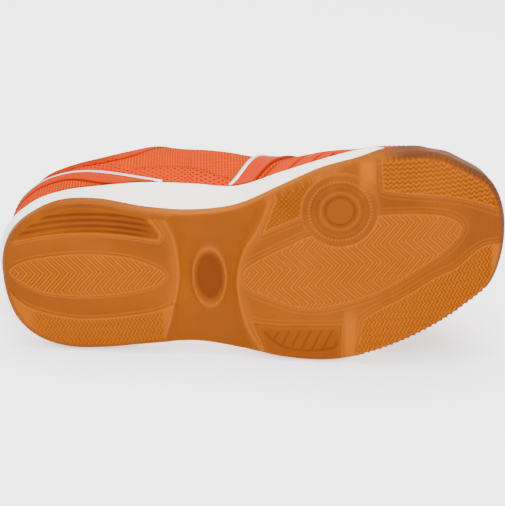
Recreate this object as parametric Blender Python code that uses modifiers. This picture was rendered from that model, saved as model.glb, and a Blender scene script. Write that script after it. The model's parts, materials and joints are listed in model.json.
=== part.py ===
"""Low-cut indoor court shoe for the left foot, size EU 35, lying on its outer side.

The shoe is worked out in its own frame, in millimetres: x runs from heel to toe, y towards the outer
(little-toe) side and z up from the tread. One empty then lays the finished shoe on the floor.
"""
import math

import bmesh
import bpy
import numpy as np
from mathutils import Matrix, Vector

MM = 0.001

# Driving dimensions, in millimetres
LENGTH = 230.0
SEAT_GAP = 0.3
FOOT_GAP = 0.6
GUM_FLOOR = 5.0
GUM_WALL = 2.0
TOE_WRAP = (176.0, 194.0)
TOE_LEAN = 1.6
TOE_SEAT = 0.3
FOAM_LIP = 1.2
FOAM_STEP = 0.2
BAND_DEPTH = 1.0
SHANK_DEPTH = 3.0
UPPER_WALL = 2.2
UPPER_INSET = 1.7
HEEL_LEAN = 6.0
HEEL_ROUND = 1.5
HEEL_REACH = 0.4
CLIMB_MOST = 1.3
SIDE_FOOT = 0.08
END_FADE = 0.14
TOE_PINCH = (148.0, 185.0)
TOE_PINCH_DEPTH = 2.5
COLLAR_BACK = 80.0
THROAT_START = 72.0
OVERLAY_THICK = 1.1
PANEL_FOOT = 0.8
COUNTER_FRONT = 76.0
COUNTER_HEIGHT = 30.0
COUNTER_SWEEP = (10.0, 84.0)
GUARD_BACK = 150.0
GUARD_LOW = 2.0
GUARD_RISE = 12.0
GUARD_SWEEP = (148.0, 205.0)
GUARD_SHARE = 0.6
STRAP_X = 124.0
STRAP_WIDTH = 16.0
STRAP_TAPER = 4.0
STRAP_SLANT = 20.0
STRAP_FROM_THROAT = 17.0
STRAP_LIFT = 0.4
TONGUE_THICK = 4.5
TONGUE_GAP = 1.1
TONGUE_CORNER = 10.0
TONGUE_ROUND = 0.75
INSOLE_THICK = 4.0
INSOLE_GAP = 1.0
EYESTAY_BACK = 84.0
EYESTAY_FRONT = 170.0
EYELET_ROWS = 6
EYELET_FRONT = 147.0
EYELET_PITCH = 11.2
EYELET_RADIUS = 2.0
EYELET_FROM_EDGE = 7.0
LACE_WIDTH = 4.5
LACE_THICK = 1.5
LACE_DIP = 3.6
LACE_DIP_FROM = 0.33
LACE_FROM_EYELET = 2.7

# How finely the forms are divided
SOLE_STATIONS = 38
UPPER_STATIONS = 40
UPPER_ROWS = 8
EYESTAY_ROWS = 2
COUNTER_GRID = (15, 4)
GUARD_GRID = (22, 3)
STRAP_GRID = (6, 9)
TONGUE_GRID = (16, 9)
LACE_POINTS = 9
DRILL_SIDES = 8
ROUND_SIDES = 36

# Reach of the cutters past what they cut, finish of the meshes
CUT_CLEAR = 6.0
CUT_LOW = -20.0
CUT_HIGH = 40.0
WELD = 0.01
CREASE_DEG = 40.0
ROUGHNESS = 0.6


def table(columns, *rows):
    """A short table: a dictionary of named columns."""
    return dict(zip(columns, np.array(rows, float).T))


# Outsole (gum) edge, foam top edge and the heights of tread, gum edge and foam top
SOLE = table(
    ("x", "gum_in", "gum_out", "foam_in", "foam_out", "tread_z", "gum_z", "foam_z"),
    (0, -2.0, -2.0, -2.0, -2.0, 6.5, 12.0, 28.5),
    (5, -20.0, 19.5, -19.0, 18.5, 2.2, 9.7, 28.0),
    (15, -29.4, 29.6, -28.0, 28.6, 0.2, 8.3, 27.5),
    (30, -35.4, 35.1, -32.9, 34.0, 0.0, 7.8, 27.0),
    (46, -35.1, 35.9, -34.4, 35.0, 0.0, 7.8, 27.0),
    (66, -30.2, 34.9, -35.0, 35.0, 0.0, 8.7, 27.5),
    (88, -27.7, 34.6, -33.8, 35.2, 0.0, 9.2, 26.7),
    (108, -29.8, 39.0, -33.0, 39.0, 0.0, 8.7, 24.0),
    (128, -38.4, 44.3, -39.8, 43.6, 0.0, 7.8, 21.2),
    (145, -45.8, 46.3, -45.4, 45.2, 0.0, 7.4, 19.5),
    (163, -50.5, 44.6, -50.0, 43.2, 0.0, 7.4, 18.8),
    (182, -52.9, 38.8, -52.0, 37.4, 1.1, 11.0, 19.3),
    (198, -50.9, 31.8, -49.8, 30.6, 3.5, 20.9, 21.2),
    (212, -42.8, 24.0, -41.8, 23.2, 7.5, 24.7, 25.0),
    (222, -35.0, 17.0, -34.2, 16.4, 11.5, 27.7, 28.0),
    (230, -10.0, -10.0, -10.0, -10.0, 17.0, 30.7, 31.0))

# Sections of the upper: crest, roundness of crown and side, swell of the inner and outer side
UPPER = table(
    ("x", "crest_z", "crest_y", "crown", "side", "swell_in", "swell_out"),
    (0, 123.0, -2.0, 2.0, 2.0, 0.5, 1.0),
    (28, 123.0, -4.0, 2.0, 2.1, -0.8, 1.5),
    (55, 118.0, -9.0, 2.0, 2.2, 2.0, 1.0),
    (82, 103.0, -4.0, 2.0, 2.4, 5.8, 1.0),
    (105, 92.0, -2.5, 2.0, 2.4, 6.8, 1.5),
    (128, 81.0, -4.0, 2.0, 2.1, -0.8, 1.5),
    (151, 71.0, -5.5, 2.0, 2.1, -1.7, 1.0),
    (174, 62.5, -7.0, 2.0, 2.0, -2.5, 0.8),
    (197, 56.0, -8.5, 2.1, 2.0, -1.2, 0.5),
    (215, 51.0, -10.0, 2.2, 2.1, 0.5, 0.3),
    (225, 45.5, -10.0, 2.2, 2.2, 0.0, 0.0),
    (230, 38.0, -10.0, 2.2, 2.2, 0.0, 0.0))

# Height of the collar edge and half width of the throat along the shoe
TOPLINE = table(
    ("x", "collar_z", "throat"),
    (0, COLLAR_BACK, 60.0),
    (9, 80.5, 58.0),
    (26, 74.0, 55.0),
    (46, 68.0, 48.0),
    (62, 70.5, 37.0),
    (77, 82.0, 18.5),
    (88, 96.0, 15.5),
    (101, 135.0, 14.0),
    (115, 145.0, 12.5),
    (138, 145.0, 9.2),
    (150, 145.0, 6.0),
    (156, 145.0, 0.0),
    (230, 145.0, 0.0))

# Half width of the tongue along the shoe
TONGUE = table(
    ("x", "width"),
    (71, 22.0),
    (90, 22.5),
    (168, 15.0))

# Rolled lower edge of the gum: inset from the outline and height above the tread
GUM_EDGE = table(
    ("inset", "height"),
    (3.0, 0.0),
    (1.0, 1.2),
    (0.0, 3.6))

# Rounded edge of the insole: inset and share of its thickness
INSOLE_EDGE = table(
    ("inset", "share"),
    (0.0, 0.0),
    (0.3, 0.6),
    (2.0, 1.0))

# Tread lugs that stand proud of the smooth bands, as corner points (x, y)
LUGS = {
    "heel_rib": ((10, -20), (14, -42), (66, -42), (72, -21), (55, -20.5), (38, -22), (20, -21)),
    "heel_lens": ((5, -3), (18, -11), (40, -11.5), (63, -8.5), (75, 0), (62, 9), (38, 9.7), (17, 6.5)),
    "heel_side": ((5, 16), (38, 19), (72, 18), (70, 42), (8, 42)),
    "ball_wedge": ((119.5, -20), (127, -37), (138, -42.5), (134.5, -34), (134, -25.5)),
    "ball_field": ((109, 4), (115, -5.5), (138, -15.5), (146, -9.3), (155, -8), (166, -13), (173, -24),
                   (195, -24), (206, -20.5), (210, -16), (197, -3), (189, 5.6), (175, 12.3),
                   (160, 18.3), (140, 21), (125, 17), (113, 10.5)),
    "ball_side": ((116, 28), (153, 30), (152, 58), (124, 58)),
    "toe_in": ((173, -60), (175, -34.5), (192, -32.8), (209, -28.3), (224, -22), (238, -22),
               (226, -48), (200, -60)),
    "toe_out": ((238, -4), (222, -6), (210, -0.5), (199, 8.6), (187, 15.3), (175, 21.2), (163, 26.5),
                (160, 55), (205, 48), (232, 18)),
}
LUG_ROUNDING = 2.0
CORNER_SHARE = 0.4
SHANK_ROUNDING = 4.0
PIVOT = (153.7, -27.5)
PIVOT_RADIUS = 17.3
PIVOT_GROOVES = ((6.4, 1.2), (12.2, 1.0))
PIVOT_GROOVE_DEPTH = 0.8
SHANK = ((70, 45), (75, 21.4), (79, 7), (79.7, -1), (78.5, -14.7), (74, -26), (70, -48),
         (131, -48), (125.5, -39), (118, -21), (110.7, -10), (108.5, 0), (107.5, 9), (109, 20),
         (112, 31), (120, 48))
OVAL = (94.2, 2.5)
OVAL_HALF = (8.4, 16.0)
OVAL_RIM = 2.0

COLOURS = {
    "gum": (0.58, 0.21, 0.05, 1.0),
    "foam": (0.88, 0.86, 0.83, 1.0),
    "mesh": (0.95, 0.20, 0.05, 1.0),
    "synthetic": (0.86, 0.12, 0.03, 1.0),
    "lining": (0.90, 0.24, 0.08, 1.0),
    "sock": (0.20, 0.20, 0.21, 1.0),
    "lace": (0.93, 0.22, 0.06, 1.0),
}


def station(x):
    """Cosine station from 0 at the heel to 1 at the toe, which keeps both ends round."""
    return np.arccos(np.clip(1.0 - 2.0 * np.asarray(x, float) / LENGTH, -1.0, 1.0)) / np.pi


def along(q):
    """Distance from the heel at a cosine station."""
    return LENGTH * (1.0 - np.cos(np.pi * np.asarray(q, float))) / 2.0


def read(rows, name, q):
    """A column of a table at station q, by cubic pieces through its rows."""
    knots, values = station(rows["x"]), rows[name]
    slopes = np.gradient(values, knots)
    i = np.clip(np.searchsorted(knots, q, side="right") - 1, 0, len(knots) - 2)
    step = knots[i + 1] - knots[i]
    a = np.clip((q - knots[i]) / step, 0.0, 1.0)
    return ((1 + 2 * a) * (1 - a) ** 2 * values[i] + a * (1 - a) ** 2 * step * slopes[i]
            + a * a * (3 - 2 * a) * values[i + 1] + a * a * (a - 1) * step * slopes[i + 1])


def smooth_step(x, low, high):
    """0 below low, 1 above high, and a soft rise between."""
    t = np.clip((np.asarray(x, float) - low) / (high - low), 0.0, 1.0)
    return t * t * (3.0 - 2.0 * t)


def tread_height(x):
    """Height of the tread: flat on the floor plane from heel to ball, rising at both ends."""
    return np.maximum(read(SOLE, "tread_z", station(x)), 0.0)


def toe_pinch(x):
    """How much further the upper stands in from the foam's edge at the toe."""
    return TOE_PINCH_DEPTH * smooth_step(x, *TOE_PINCH)


def sole_height(name):
    """A height column of the sole as a function of x."""
    return lambda x: read(SOLE, name, station(x))


# The last: one surface for upper, overlays, tongue and lace

def foot_height(q):
    """Height of the upper's feather edge."""
    return read(SOLE, "foam_z", q) + FOOT_GAP


def last_point(q, psi):
    """Point of the upper's outer face at station q and angle psi.

    psi is 0 on the crest, -90 degrees on the inner and +90 on the outer feather edge. Stations past
    either end come back on the other side, so the surface runs on smoothly round heel and toe.
    """
    q, psi = np.broadcast_arrays(np.asarray(q, float), np.asarray(psi, float))
    past = (q < 0.0) | (q > 1.0)
    psi = np.where(past, -psi, psi)
    q = np.where(q < 0.0, -q, np.where(q > 1.0, 2.0 - q, q))
    side = np.where(psi < 0.0, -1.0, 1.0)
    turn = np.minimum(np.abs(psi), np.pi / 2)
    fade = smooth_step(np.minimum(q, 1.0 - q), 0.0, END_FADE)
    inner, outer = read(SOLE, "foam_in", q), read(SOLE, "foam_out", q)
    middle = (inner + outer) / 2
    half = (outer - inner) / 2 - (UPPER_INSET + toe_pinch(along(q))) * fade
    foot = foot_height(q)
    rise = read(UPPER, "crest_z", q) - foot
    level = np.cos(turn) ** (2.0 / read(UPPER, "crown", q))
    swell = np.where(side < 0, read(UPPER, "swell_in", q), read(UPPER, "swell_out", q))
    bulge = swell * fade * np.sin(np.pi * level) ** 2
    width = half * np.sin(turn) ** (2.0 / read(UPPER, "side", q)) + bulge
    z = foot + rise * level
    drift = level ** 2 / (level + SIDE_FOOT) * (1.0 + SIDE_FOOT)
    y = middle + (read(UPPER, "crest_y", q) - middle) * drift + side * width
    climb = np.clip((z - foot) / (COLLAR_BACK - foot), 0.0, CLIMB_MOST)
    lean = HEEL_LEAN * climb ** 2 - HEEL_ROUND * np.sin(np.pi * np.minimum(climb, 1.0)) ** 2
    heel = np.clip(1.0 - q / HEEL_REACH, 0.0, 1.0) ** 2
    x = UPPER_INSET + along(q) * (1.0 - 2.0 * UPPER_INSET / LENGTH) + lean * heel
    return np.stack([x, y, z], axis=-1)


def last_normal(q, psi):
    """Outward unit normal of the last, from central differences."""
    dq, dpsi = 0.004, 0.02
    q = np.clip(q, 0.0, 1.0 - dq / 2)
    psi = np.clip(psi, -np.pi / 2 + dpsi, np.pi / 2 - dpsi)
    along_q = last_point(q + dq, psi) - last_point(q - dq, psi)
    round_foot = last_point(q, psi + dpsi) - last_point(q, psi - dpsi)
    normal = np.cross(along_q, round_foot)
    return normal / np.linalg.norm(normal, axis=-1, keepdims=True)


def shell_point(q, psi, out):
    """Point at a distance outside the last."""
    return last_point(q, psi) + np.asarray(out)[..., None] * last_normal(q, psi)


def turn_at_width(q, width):
    """Angle from the crest at a half width across the shoe."""
    half = (read(SOLE, "foam_out", q) - read(SOLE, "foam_in", q)) / 2 - UPPER_INSET
    share = np.clip(width / np.maximum(half, 1e-6), 0.0, 1.0)
    return np.arcsin(share ** (read(UPPER, "side", q) / 2))


def turn_at_height(q, z):
    """Angle from the crest at a height above the tread plane."""
    foot = foot_height(q)
    share = np.clip((z - foot) / (read(UPPER, "crest_z", q) - foot), 0.0, 1.0)
    return np.arccos(share ** (read(UPPER, "crown", q) / 2))


def topline_turn(q):
    """Angle from the crest of the upper's free edge: the collar, then the throat, then closed."""
    collar = turn_at_height(q, read(TOPLINE, "collar_z", q))
    throat = turn_at_width(q, np.maximum(read(TOPLINE, "throat", q), 0.0))
    open_throat = np.where(along(q) < THROAT_START, 0.0, throat)
    return np.maximum(collar, open_throat)


# Mesh helpers

def new_object(name, vertices, faces, colour, group, parent):
    """A mesh object in a collection, under the shoe's empty, with its own material."""
    mesh = bpy.data.meshes.new(name)
    mesh.from_pydata((np.asarray(vertices) * MM).tolist(), [], faces)
    work = bmesh.new()
    work.from_mesh(mesh)
    bmesh.ops.remove_doubles(work, verts=work.verts, dist=WELD * MM)
    bmesh.ops.dissolve_degenerate(work, edges=work.edges, dist=WELD / 2 * MM)
    work.to_mesh(mesh)
    work.free()
    mesh.shade_smooth()
    mesh.set_sharp_from_angle(angle=math.radians(CREASE_DEG))
    piece = bpy.data.objects.new(name, mesh)
    group.objects.link(piece)
    piece.parent = parent
    if colour:
        mesh.materials.append(material(name, COLOURS[colour]))
    else:
        piece.hide_render = True
        piece.display_type = "WIRE"
    return piece


def material(name, colour):
    """A Principled material for one piece."""
    finish = bpy.data.materials.new(name)
    finish.use_nodes = True
    shader = finish.node_tree.nodes["Principled BSDF"]
    shader.inputs["Base Color"].default_value = colour
    shader.inputs["Roughness"].default_value = ROUGHNESS
    shader.inputs["Metallic"].default_value = 0.0
    return finish


def grid_faces(rows, columns, start=0):
    """Triangles of a grid of rows by columns vertices."""
    i, j = np.meshgrid(np.arange(rows - 1), np.arange(columns - 1), indexing="ij")
    a = start + i * columns + j
    halves = np.stack([a, a + columns, a + columns + 1, a, a + columns + 1, a + 1], axis=-1)
    return halves.reshape(-1, 3).tolist()


def patches(*grids):
    """Vertices and faces of several grids of points, whose faces point along d(row) x d(column)."""
    vertices, faces, count = [], [], 0
    for points in grids:
        vertices.append(points.reshape(-1, 3))
        faces += grid_faces(points.shape[0], points.shape[1], count)
        count += points.shape[0] * points.shape[1]
    return np.concatenate(vertices), faces


def thicken(piece, thickness, outwards):
    """Give an open surface a wall."""
    wall = piece.modifiers.new("wall", "SOLIDIFY")
    wall.thickness = thickness * MM
    wall.offset = 1.0 if outwards else -1.0
    wall.use_even_offset = True
    wall.use_quality_normals = True


def boolean(piece, cutter, operation="DIFFERENCE"):
    """Cut or join with another mesh."""
    step = piece.modifiers.new(operation.lower(), "BOOLEAN")
    step.operation = operation
    step.solver = "EXACT"
    step.object = cutter


def ring(inner, outer, inset, height):
    """Closed outline: heel, inner side, toe, outer side, moved in by inset, at height(x)."""
    q = np.linspace(0.0, 1.0, SOLE_STATIONS + 1)
    one = np.stack([along(q), read(SOLE, inner, q)], axis=-1)
    two = np.stack([along(q), read(SOLE, outer, q)], axis=-1)
    line = np.concatenate([one, two[-2:0:-1]])
    tangent = np.roll(line, -1, axis=0) - np.roll(line, 1, axis=0)
    tangent /= np.linalg.norm(tangent, axis=1, keepdims=True)
    normal = np.stack([-tangent[:, 1], tangent[:, 0]], axis=-1)
    amount = inset(line[:, 0]) if callable(inset) else np.full(len(line), inset)
    line = line + amount[:, None] * normal
    return np.column_stack([line, height(np.clip(line[:, 0], 0.0, LENGTH))])


def loft(rings):
    """Vertices and faces of a closed body through rings, capped by rungs across the shoe."""
    count = len(rings[0])
    half = count // 2
    faces = []
    for level in range(len(rings) - 1):
        for i in range(count):
            a, b = level * count + i, level * count + (i + 1) % count
            faces.append((a, b, b + count, a + count))
    top = (len(rings) - 1) * count
    for i in range(half):
        rung = [i, (count - i) % count, (count - i - 1) % count, i + 1]
        corners = list(dict.fromkeys(rung))
        faces.append(corners)
        faces.append([top + c for c in reversed(corners)])
    return np.concatenate(rings), faces


def rounded(corners, radius):
    """A polygon with its corners cut by short curves."""
    points = [np.array(c, float) for c in corners]
    outline = []
    for before, corner, after in zip(points[-1:] + points[:-1], points, points[1:] + points[:1]):
        back, on = before - corner, after - corner
        reach = min(radius, CORNER_SHARE * min(np.linalg.norm(back), np.linalg.norm(on)))
        first = corner + back / np.linalg.norm(back) * reach
        last = corner + on / np.linalg.norm(on) * reach
        outline += [first, (first + 2 * corner + last) / 4, last]
    return np.array(outline)


def ellipse(centre, half):
    """An ellipse as a closed outline."""
    turn = np.linspace(0.0, 2 * np.pi, ROUND_SIDES, endpoint=False)
    return np.column_stack([centre[0] + half[0] * np.cos(turn), centre[1] + half[1] * np.sin(turn)])


def prism_faces(count):
    """Faces between two rings of count vertices, with both ends closed."""
    faces = [list(range(count))[::-1], list(range(count, 2 * count))]
    for i in range(count):
        j = (i + 1) % count
        faces.append((i, j, j + count, i + count))
    return faces


def prism(outline, low, high):
    """Vertices and faces of an upright prism on an outline of either direction."""
    x, y = outline.T
    area = np.sum(x * np.roll(y, -1) - np.roll(x, -1) * y)
    outline = outline if area > 0 else outline[::-1]
    count = len(outline)
    bottom = np.column_stack([outline, np.full(count, low)])
    top = np.column_stack([outline, np.full(count, high)])
    return np.concatenate([bottom, top]), prism_faces(count)


def joined(*bodies):
    """Several separate bodies as one list of vertices and faces."""
    vertices, faces, count = [], [], 0
    for points, polygons in bodies:
        vertices.append(points)
        faces += [[corner + count for corner in polygon] for polygon in polygons]
        count += len(points)
    return np.concatenate(vertices), faces


# Sole unit

def wrap(x):
    """1 where the gum wraps the toe and covers the foam's side, 0 behind it."""
    return smooth_step(x, *TOE_WRAP)


def make_outsole(parts, cutters, shoe):
    """Gum cup with a rolled edge, a leaning toe wrap, lugs, the pivot disc and a hollow shank."""
    gum = ("gum_in", "gum_out")
    wall_top = sole_height("gum_z")
    rings = [ring(*gum, inset, lambda x, up=height: tread_height(x) + up)
             for inset, height in zip(GUM_EDGE["inset"], GUM_EDGE["height"])]
    rings.append(ring(*gum, lambda x: TOE_LEAN * wrap(x), wall_top))
    rings.append(ring(*gum, lambda x: GUM_WALL + TOE_LEAN * wrap(x), wall_top))
    rings.append(ring(*gum, GUM_WALL, lambda x: tread_height(x) + GUM_FLOOR))
    outsole = new_object("outsole", *loft(rings), "gum", parts, shoe)

    bands = new_object("bands", *loft([
        ring(*gum, -CUT_CLEAR, lambda x: tread_height(x) - CUT_CLEAR),
        ring(*gum, -CUT_CLEAR, lambda x: tread_height(x) + BAND_DEPTH)]), None, cutters, shoe)
    fields = [prism(rounded(corners, LUG_ROUNDING), CUT_LOW, CUT_HIGH) for corners in LUGS.values()]
    fields.append(prism(ellipse(PIVOT, (PIVOT_RADIUS, PIVOT_RADIUS)), CUT_LOW, CUT_HIGH))
    boolean(bands, new_object("lugs", *joined(*fields), None, cutters, shoe))
    boolean(outsole, bands)

    hollow = prism(rounded(SHANK, SHANK_ROUNDING), -CUT_CLEAR, SHANK_DEPTH)
    shank = new_object("shank", *hollow, None, cutters, shoe)
    rim = new_object("oval_rim", *prism(ellipse(OVAL, OVAL_HALF), CUT_LOW, CUT_HIGH), None, cutters, shoe)
    inside = prism(ellipse(OVAL, np.array(OVAL_HALF) - OVAL_RIM), CUT_LOW - CUT_CLEAR, CUT_HIGH + CUT_CLEAR)
    boolean(rim, new_object("oval_inside", *inside, None, cutters, shoe))
    boolean(shank, rim)
    boolean(outsole, shank)

    for radius, width in PIVOT_GROOVES:
        outer, inner = radius + width / 2, radius - width / 2
        trench = prism(ellipse(PIVOT, (outer, outer)), -CUT_CLEAR, PIVOT_GROOVE_DEPTH)
        core = prism(ellipse(PIVOT, (inner, inner)), -2 * CUT_CLEAR, CUT_CLEAR)
        groove = new_object("groove", *trench, None, cutters, shoe)
        boolean(groove, new_object("core", *core, None, cutters, shoe))
        boolean(outsole, groove)


def foam_ledge(x):
    """Height of the foam's step over the gum's edge."""
    return np.minimum(sole_height("gum_z")(x) + SEAT_GAP, sole_height("foam_z")(x) - FOAM_LIP)


def make_midsole(parts, shoe):
    """Foam seated in the gum cup, stepping out flush with the cup's edge and flaring to its top."""
    gum = ("gum_in", "gum_out")
    seat = GUM_WALL + SEAT_GAP
    behind_wrap = seat + TOE_LEAN + TOE_SEAT
    floor = GUM_FLOOR + SEAT_GAP
    rings = [ring(*gum, lambda x: seat + TOE_SEAT * wrap(x), lambda x: tread_height(x) + floor),
             ring(*gum, lambda x: seat + (behind_wrap - seat) * wrap(x), foam_ledge),
             ring(*gum, lambda x: FOAM_STEP + behind_wrap * wrap(x), lambda x: foam_ledge(x) + FOAM_STEP),
             ring("foam_in", "foam_out", lambda x: behind_wrap * wrap(x), sole_height("foam_z"))]
    new_object("midsole", *loft(rings), "foam", parts, shoe)


def make_insole(parts, shoe):
    """Flat sock board inside the upper, its top edge rounded."""
    edges = ("foam_in", "foam_out")
    inset = UPPER_INSET + UPPER_WALL + INSOLE_GAP
    base = sole_height("foam_z")
    rings = [ring(*edges, lambda x, more=extra: inset + more + toe_pinch(x),
                  lambda x, up=share: base(x) + SEAT_GAP + up * INSOLE_THICK)
             for extra, share in zip(INSOLE_EDGE["inset"], INSOLE_EDGE["share"])]
    new_object("insole", *loft(rings), "sock", parts, shoe)


# Upper and what is sewn on it

def side_grid(side, q, top):
    """Points of one side of the last, from the feather edge to the given angle from the crest."""
    share = np.linspace(0.0, 1.0, UPPER_ROWS + 1)
    turn = top[:, None] + (np.pi / 2 - top[:, None]) * share[None, :]
    psi = turn if side > 0 else -turn[:, ::-1]
    return last_point(q[:, None], psi)


def eyelet_place(row):
    """Station and angle from the crest of one row of eyelets, row 0 at the front."""
    q = station(EYELET_FRONT - row * EYELET_PITCH)
    width = read(TOPLINE, "throat", q) + EYELET_FROM_EDGE
    return q, turn_at_width(q, width)


def make_eyelet_drills(cutters, shoe):
    """Short pins through eyestay and upper, one for each eyelet."""
    pins = []
    turn = np.linspace(0.0, 2 * np.pi, DRILL_SIDES, endpoint=False)
    for row in range(EYELET_ROWS):
        q, psi = eyelet_place(row)
        for side in (-1.0, 1.0):
            centre, normal = last_point(q, side * psi), last_normal(q, side * psi)
            across = np.cross(normal, (1.0, 0.0, 0.0))
            across /= np.linalg.norm(across)
            other = np.cross(normal, across)
            circle = EYELET_RADIUS * (np.cos(turn)[:, None] * across + np.sin(turn)[:, None] * other)
            ends = [centre + circle - CUT_CLEAR * normal, centre + circle + CUT_CLEAR * normal]
            pins.append((np.concatenate(ends), prism_faces(DRILL_SIDES)))
    return new_object("eyelet_drills", *joined(*pins), None, cutters, shoe)


def make_upper(parts, drills, shoe):
    """One hollow wall round the foot, open at the collar, at the throat and underneath."""
    q = np.linspace(0.0, 1.0, UPPER_STATIONS + 1)
    top = topline_turn(q)
    sides = patches(side_grid(-1, q, top), side_grid(1, q, top))
    upper = new_object("upper", *sides, "mesh", parts, shoe)
    thicken(upper, UPPER_WALL, outwards=False)
    boolean(upper, drills)


def overlay(name, grids, parts, shoe):
    """A thin panel on the upper, a seam's gap outside it."""
    panel = new_object(name, *patches(*grids), "synthetic", parts, shoe)
    thicken(panel, OVERLAY_THICK, outwards=True)
    return panel


def panel_grid(side, q, upper_turn, lower_turn, rows):
    """Points of a panel between two lines of angle, on one side of the shoe."""
    share = np.linspace(0.0, 1.0, rows + 1)
    turn = upper_turn[:, None] + (lower_turn - upper_turn)[:, None] * share
    psi = turn if side > 0 else -turn[:, ::-1]
    return shell_point(q[:, None], psi, np.full(psi.shape, SEAT_GAP))


def make_eyestay(parts, drills, shoe):
    """U-shaped facing round the throat that carries the eyelets, on the upper's own top rows."""
    q = np.linspace(0.0, 1.0, UPPER_STATIONS + 1)
    q = q[(along(q) > EYESTAY_BACK) & (along(q) < EYESTAY_FRONT)]
    top = topline_turn(q)
    low = top + (np.pi / 2 - top) * EYESTAY_ROWS / UPPER_ROWS
    grids = [panel_grid(side, q, top, low, EYESTAY_ROWS) for side in (-1, 1)]
    boolean(overlay("eyestay", grids, parts, shoe), drills)


def foot_panel(name, q, high, rows, parts, shoe):
    """Panel on both sides of the shoe between the sole and a line of heights."""
    low = turn_at_height(q, foot_height(q) + PANEL_FOOT)
    grids = [panel_grid(side, q, turn_at_height(q, high), low, rows) for side in (-1, 1)]
    overlay(name, grids, parts, shoe)


def make_heel_counter(parts, shoe):
    """Panel round the heel that sweeps down to the sole at the waist."""
    stations, rows = COUNTER_GRID
    q = np.linspace(0.0, station(COUNTER_FRONT), stations)
    high = foot_height(q) + PANEL_FOOT + COUNTER_HEIGHT * (1.0 - smooth_step(along(q), *COUNTER_SWEEP))
    foot_panel("heel_counter", q, high, rows, parts, shoe)


def make_toe_guard(parts, shoe):
    """Bumper panel round the toe, low at the sides and higher at the tip."""
    stations, rows = GUARD_GRID
    q = np.linspace(station(GUARD_BACK), 1.0, stations)
    foot = foot_height(q)
    rise = GUARD_LOW + GUARD_RISE * smooth_step(along(q), *GUARD_SWEEP)
    high = foot + np.minimum(rise, GUARD_SHARE * (read(UPPER, "crest_z", q) - foot))
    foot_panel("toe_guard", q, high, rows, parts, shoe)


def make_quarter_strap(side, name, parts, shoe):
    """Slanting panel from the sole at the waist up to the eyestay."""
    columns, rows = STRAP_GRID
    share = np.linspace(0.0, 1.0, rows)[None, :]
    across = np.linspace(0.0, 1.0, columns)[:, None]
    q = station(STRAP_X - STRAP_SLANT * share + across * (STRAP_WIDTH - STRAP_TAPER * share))
    low = turn_at_height(q, foot_height(q) + PANEL_FOOT)
    high = turn_at_width(q, read(TOPLINE, "throat", q) + STRAP_FROM_THROAT)
    turn = high + (low - high) * share
    out = np.broadcast_to(SEAT_GAP + STRAP_LIFT * share ** 2, q.shape)
    if side < 0:
        q, turn, out = q[:, ::-1], -turn[:, ::-1], out[:, ::-1]
    overlay(name, [shell_point(q, turn, out)], parts, shoe)


def make_tongue(parts, shoe):
    """Padded tongue under the throat, from inside the vamp to above the collar."""
    stations, columns = TONGUE_GRID
    back, front = TONGUE["x"][0], TONGUE["x"][-1]
    q = np.linspace(station(back), station(front), stations)
    x = along(q)
    corner = np.sqrt(1.0 - TONGUE_ROUND * np.clip(1.0 - (x - back) / TONGUE_CORNER, 0.0, 1.0) ** 2)
    width = np.interp(x, TONGUE["x"], TONGUE["width"]) * corner
    psi = turn_at_width(q, width)[:, None] * np.linspace(-1.0, 1.0, columns)
    under = np.full(psi.shape, -UPPER_WALL - TONGUE_GAP)
    tongue = new_object("tongue", *patches(shell_point(q[:, None], psi, under)), "lining", parts, shoe)
    thicken(tongue, TONGUE_THICK, outwards=False)


# Lace

def lace_strip(start, end, lift, dip):
    """Flat strip over the instep between two places (station, angle), dipping to the tongue."""
    share = np.linspace(0.0, 1.0, LACE_POINTS)
    q = start[0] + (end[0] - start[0]) * share
    psi = start[1] + (end[1] - start[1]) * share
    sink = dip * smooth_step(np.minimum(share, 1.0 - share), LACE_DIP_FROM, 0.5)
    out = SEAT_GAP + OVERLAY_THICK + SEAT_GAP + LACE_THICK / 2 + lift - sink
    centre, normal = shell_point(q, psi, out), last_normal(q, psi)
    tangent = np.gradient(centre, axis=0)
    tangent /= np.linalg.norm(tangent, axis=1, keepdims=True)
    across = np.cross(normal, tangent)
    across /= np.linalg.norm(across, axis=1, keepdims=True)
    wide, thick = across * LACE_WIDTH / 2, normal * LACE_THICK / 2
    rings = [centre + wide + thick, centre - wide + thick, centre - wide - thick, centre + wide - thick]
    faces = [(3, 2, 1, 0)]
    last = 4 * (LACE_POINTS - 1)
    faces.append((last, last + 1, last + 2, last + 3))
    for i in range(LACE_POINTS - 1):
        for k in range(4):
            a, b = 4 * i + k, 4 * i + (k + 1) % 4
            faces.append((a, b, b + 4, a + 4))
    return np.stack(rings, axis=1).reshape(-1, 3), faces


def make_lace(parts, cutters, shoe):
    """One bar at the front row and a joined crossing between each two rows."""
    q, psi = eyelet_place(0)
    q = station(along(q) + LACE_FROM_EYELET)
    new_object("lace_bar", *lace_strip((q, -psi), (q, psi), 0.0, 0.0), "lace", parts, shoe)
    for row in range(EYELET_ROWS - 1):
        front, back = eyelet_place(row), eyelet_place(row + 1)
        q_front = station(along(front[0]) - LACE_FROM_EYELET)
        q_back = station(along(back[0]) + LACE_FROM_EYELET)
        under = lace_strip((q_front, -front[1]), (q_back, back[1]), 0.0, LACE_DIP)
        over = lace_strip((q_front, front[1]), (q_back, -back[1]), LACE_THICK / 2, LACE_DIP)
        crossing = new_object("lace_crossing_%d" % (row + 1), *under, "lace", parts, shoe)
        boolean(crossing, new_object("lace_over_%d" % (row + 1), *over, None, cutters, shoe), "UNION")


# Laying the shoe on its side

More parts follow.
